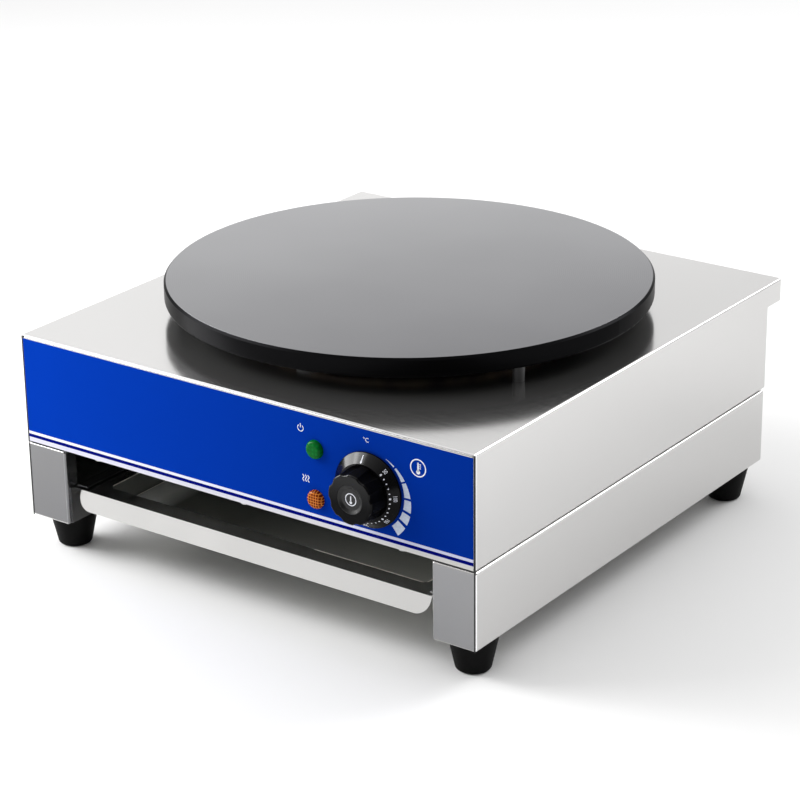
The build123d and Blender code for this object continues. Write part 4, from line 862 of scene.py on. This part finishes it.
pointer = [around_knob(radius, POINTER_ANGLE) for radius in (POINTER_FROM, POINTER_TO)]
scale = [dot(around_knob(POINTER_AT, POINTER_ANGLE), POINTER_DOT, 5),
         bar(*pointer, POINTER_WIDTH)]
for heat in range(COLDEST, HOTTEST + 1, DEGREES_PER_DOT):
    angle = FIRST_ANGLE - (heat - COLDEST) / DEGREES_PER_DOT * DOT_STEP
    numbered = heat % DEGREES_PER_NUMBER == 0
    scale.append(dot(around_knob(DOT_RADIUS, angle), LARGE_DOT if numbered else SMALL_DOT, 5))
    if numbered:
        scale.append(word(str(heat), around_knob(NUMBER_RADIUS, angle), NUMBER_SIZE, angle - 90))
print_marks("dial_scale", scale, on_cone, white_ink, "knob")

# %% Thermometer on the cap
# The cap is a shallow dish, and its flat floor lies behind its rim by the dish's depth.
CAP_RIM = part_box("knob_cap")[0].y / MM
DISH_DEPTH, SIGN_SIZE = 1.4, 5.0
sign = thermometer(KNOB, SIGN_SIZE, ticks=False)
print_marks("cap_sign", sign, flat_at(CAP_RIM + DISH_DEPTH), white_ink, "knob")

# %% [markdown]
# ## Painted highlights on the tray
#
# The pan is pressed into the tray. Thin pale lines along its edge are painted highlights, laid on
# even where the polished flange beside them mirrors the dark inside of the base. The fold along
# the pan's floor gets a painted highlight line in the same way. Along the front, only the right
# part of the edge has one.

# %% Painted highlight lines along the pan
PAN_HALF, PAN_CORNER, PAN_DEPTH, REAR_RIM = 157.0, 4.0, 17.0, 16.0
BRIGHT_FROM, EDGE_WIDTH, SIDE_WIDTH = 52.0, 0.8, 1.2
FOLD_WIDTH, FOLD_INSET, CLEAR = 1.4, 2.6, 0.5
pan_front, pan_rear = PAN_FRONT / MM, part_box("drawer_tray")[1].y / MM - REAR_RIM


def on_tray(x, y):
    """The pan's floor inside its edge, and the flange outside it."""
    inside = (np.abs(x) < PAN_HALF - CLEAR) & (y > pan_front + CLEAR)
    return TRAY_HIGH / MM - np.where(inside, PAN_DEPTH, 0.0) + INK_LIFT


# Painted highlight: a pale matt finish for the lines on the pan's edges and folds.
pan_line_finish, tree, shader = finish("painted_highlight_lines", "#F0EAE0")
tint(tree, shader, grain(tree, (4, 4, 4)), ("#E6E0D6", "#FAF5EC"))
corner = (PAN_HALF - PAN_CORNER, pan_front + PAN_CORNER)
front_line = pan_front - EDGE_WIDTH / 2
edges = [bar((BRIGHT_FROM, front_line), (corner[0], front_line), EDGE_WIDTH),
         arc_band(corner, PAN_CORNER, PAN_CORNER + EDGE_WIDTH, 270, 360, 13)]
for side in (-1, 1):
    for line_x, width in ((PAN_HALF + SIDE_WIDTH / 2, SIDE_WIDTH),
                          (PAN_HALF - FOLD_INSET, FOLD_WIDTH)):
        edges.append(bar((side * line_x, corner[1]), (side * line_x, pan_rear), width))
print_marks("pan_highlight_lines", edges, on_tray, pan_line_finish, "drawer", True)

# %% [markdown]
# ## Floor and light
#
# Metal shows what is around it, so the studio is half of the picture. The floor is pale and matt.
# The world is a soft white room, brighter behind the machine, where the top's reflection looks,
# and dimmer in front. One softbox stands low at the left, where the plate's rim mirrors it, and
# one stands higher at the front left, for the knob's skirt and the lenses. The third stands high
# at the rear right and draws a bright line along every fold.

# %% Pale floor
FLOOR_HALF = 6.0
side = np.linspace(-FLOOR_HALF, FLOOR_HALF, 3)
floor_x, floor_y = np.meshgrid(side, side)
points = np.stack([floor_x, floor_y, np.zeros_like(floor_x)], -1).reshape(-1, 3)
floor_mesh = bpy.data.meshes.new("floor")
floor_mesh.from_pydata(points.tolist(), [], grid_faces(3, 3).tolist())
floor = bpy.data.objects.new("floor", floor_mesh)
floor.location.z = CAD_BOX[0].z
bpy.context.scene.collection.objects.link(floor)
floor_finish, tree, shader = finish("pale_matt_floor", "#F2F2F2", 0.0, 0.9, Specular_IOR_Level=0.0)
floor_mesh.materials.append(floor_finish)
print("floor at z in mm:", round(floor.location.z / MM, 1))

# %% Soft room
BRIGHT_SIDE = Vector((-0.7, 0.6, 0.35)).normalized()
DIMMEST, BRIGHTEST, DIM_BELOW, BRIGHT_ABOVE = 0.1, 1.06, -0.62, 0.33
world = bpy.data.worlds.new("soft_white_room")
world.use_nodes = True
bpy.context.scene.world = world
tree = world.node_tree
looking = add(tree, "ShaderNodeTexCoord").outputs["Generated"]
toward = add(tree, "ShaderNodeVectorMath", {0: looking, 1: BRIGHT_SIDE}, operation="DOT_PRODUCT")
strength = graded(tree, toward.outputs["Value"], DIMMEST, BRIGHTEST, DIM_BELOW, BRIGHT_ABOVE)
background = tree.nodes["Background"]
background.inputs["Color"].default_value = linear("#FFFFFF")
tree.links.new(strength, background.inputs["Strength"])
print("the room is", round(BRIGHTEST / DIMMEST), "times brighter behind than in front")

# %% Softboxes
def softbox(name, place, target, size, watts):
    """A square area light at a place, turned to look at a target."""
    light = bpy.data.lights.new(name, "AREA")
    light.size = size
    light.energy = watts
    thing = bpy.data.objects.new(name, light)
    aim = Vector(target) - Vector(place)
    facing = aim.to_track_quat("-Z", "Y").to_matrix().to_4x4()
    thing.matrix_world = Matrix.Translation(place) @ facing
    bpy.context.scene.collection.objects.link(thing)
    print(name, "stands", round(aim.length, 2), "metres from its target")


softbox("left_box", (-1.47, -0.51, 0.71), (0, -0.1, 0.12), 0.9, 22)
softbox("front_left_box", (-1.4, -1.06, 1.44), (0, 0, 0.12), 0.9, 16)
softbox("rear_right_box", (0.95, 1.7, 1.5), (0, 0, 0.1), 1.0, 18)
bpy.context.scene.view_settings.view_transform = "Standard"
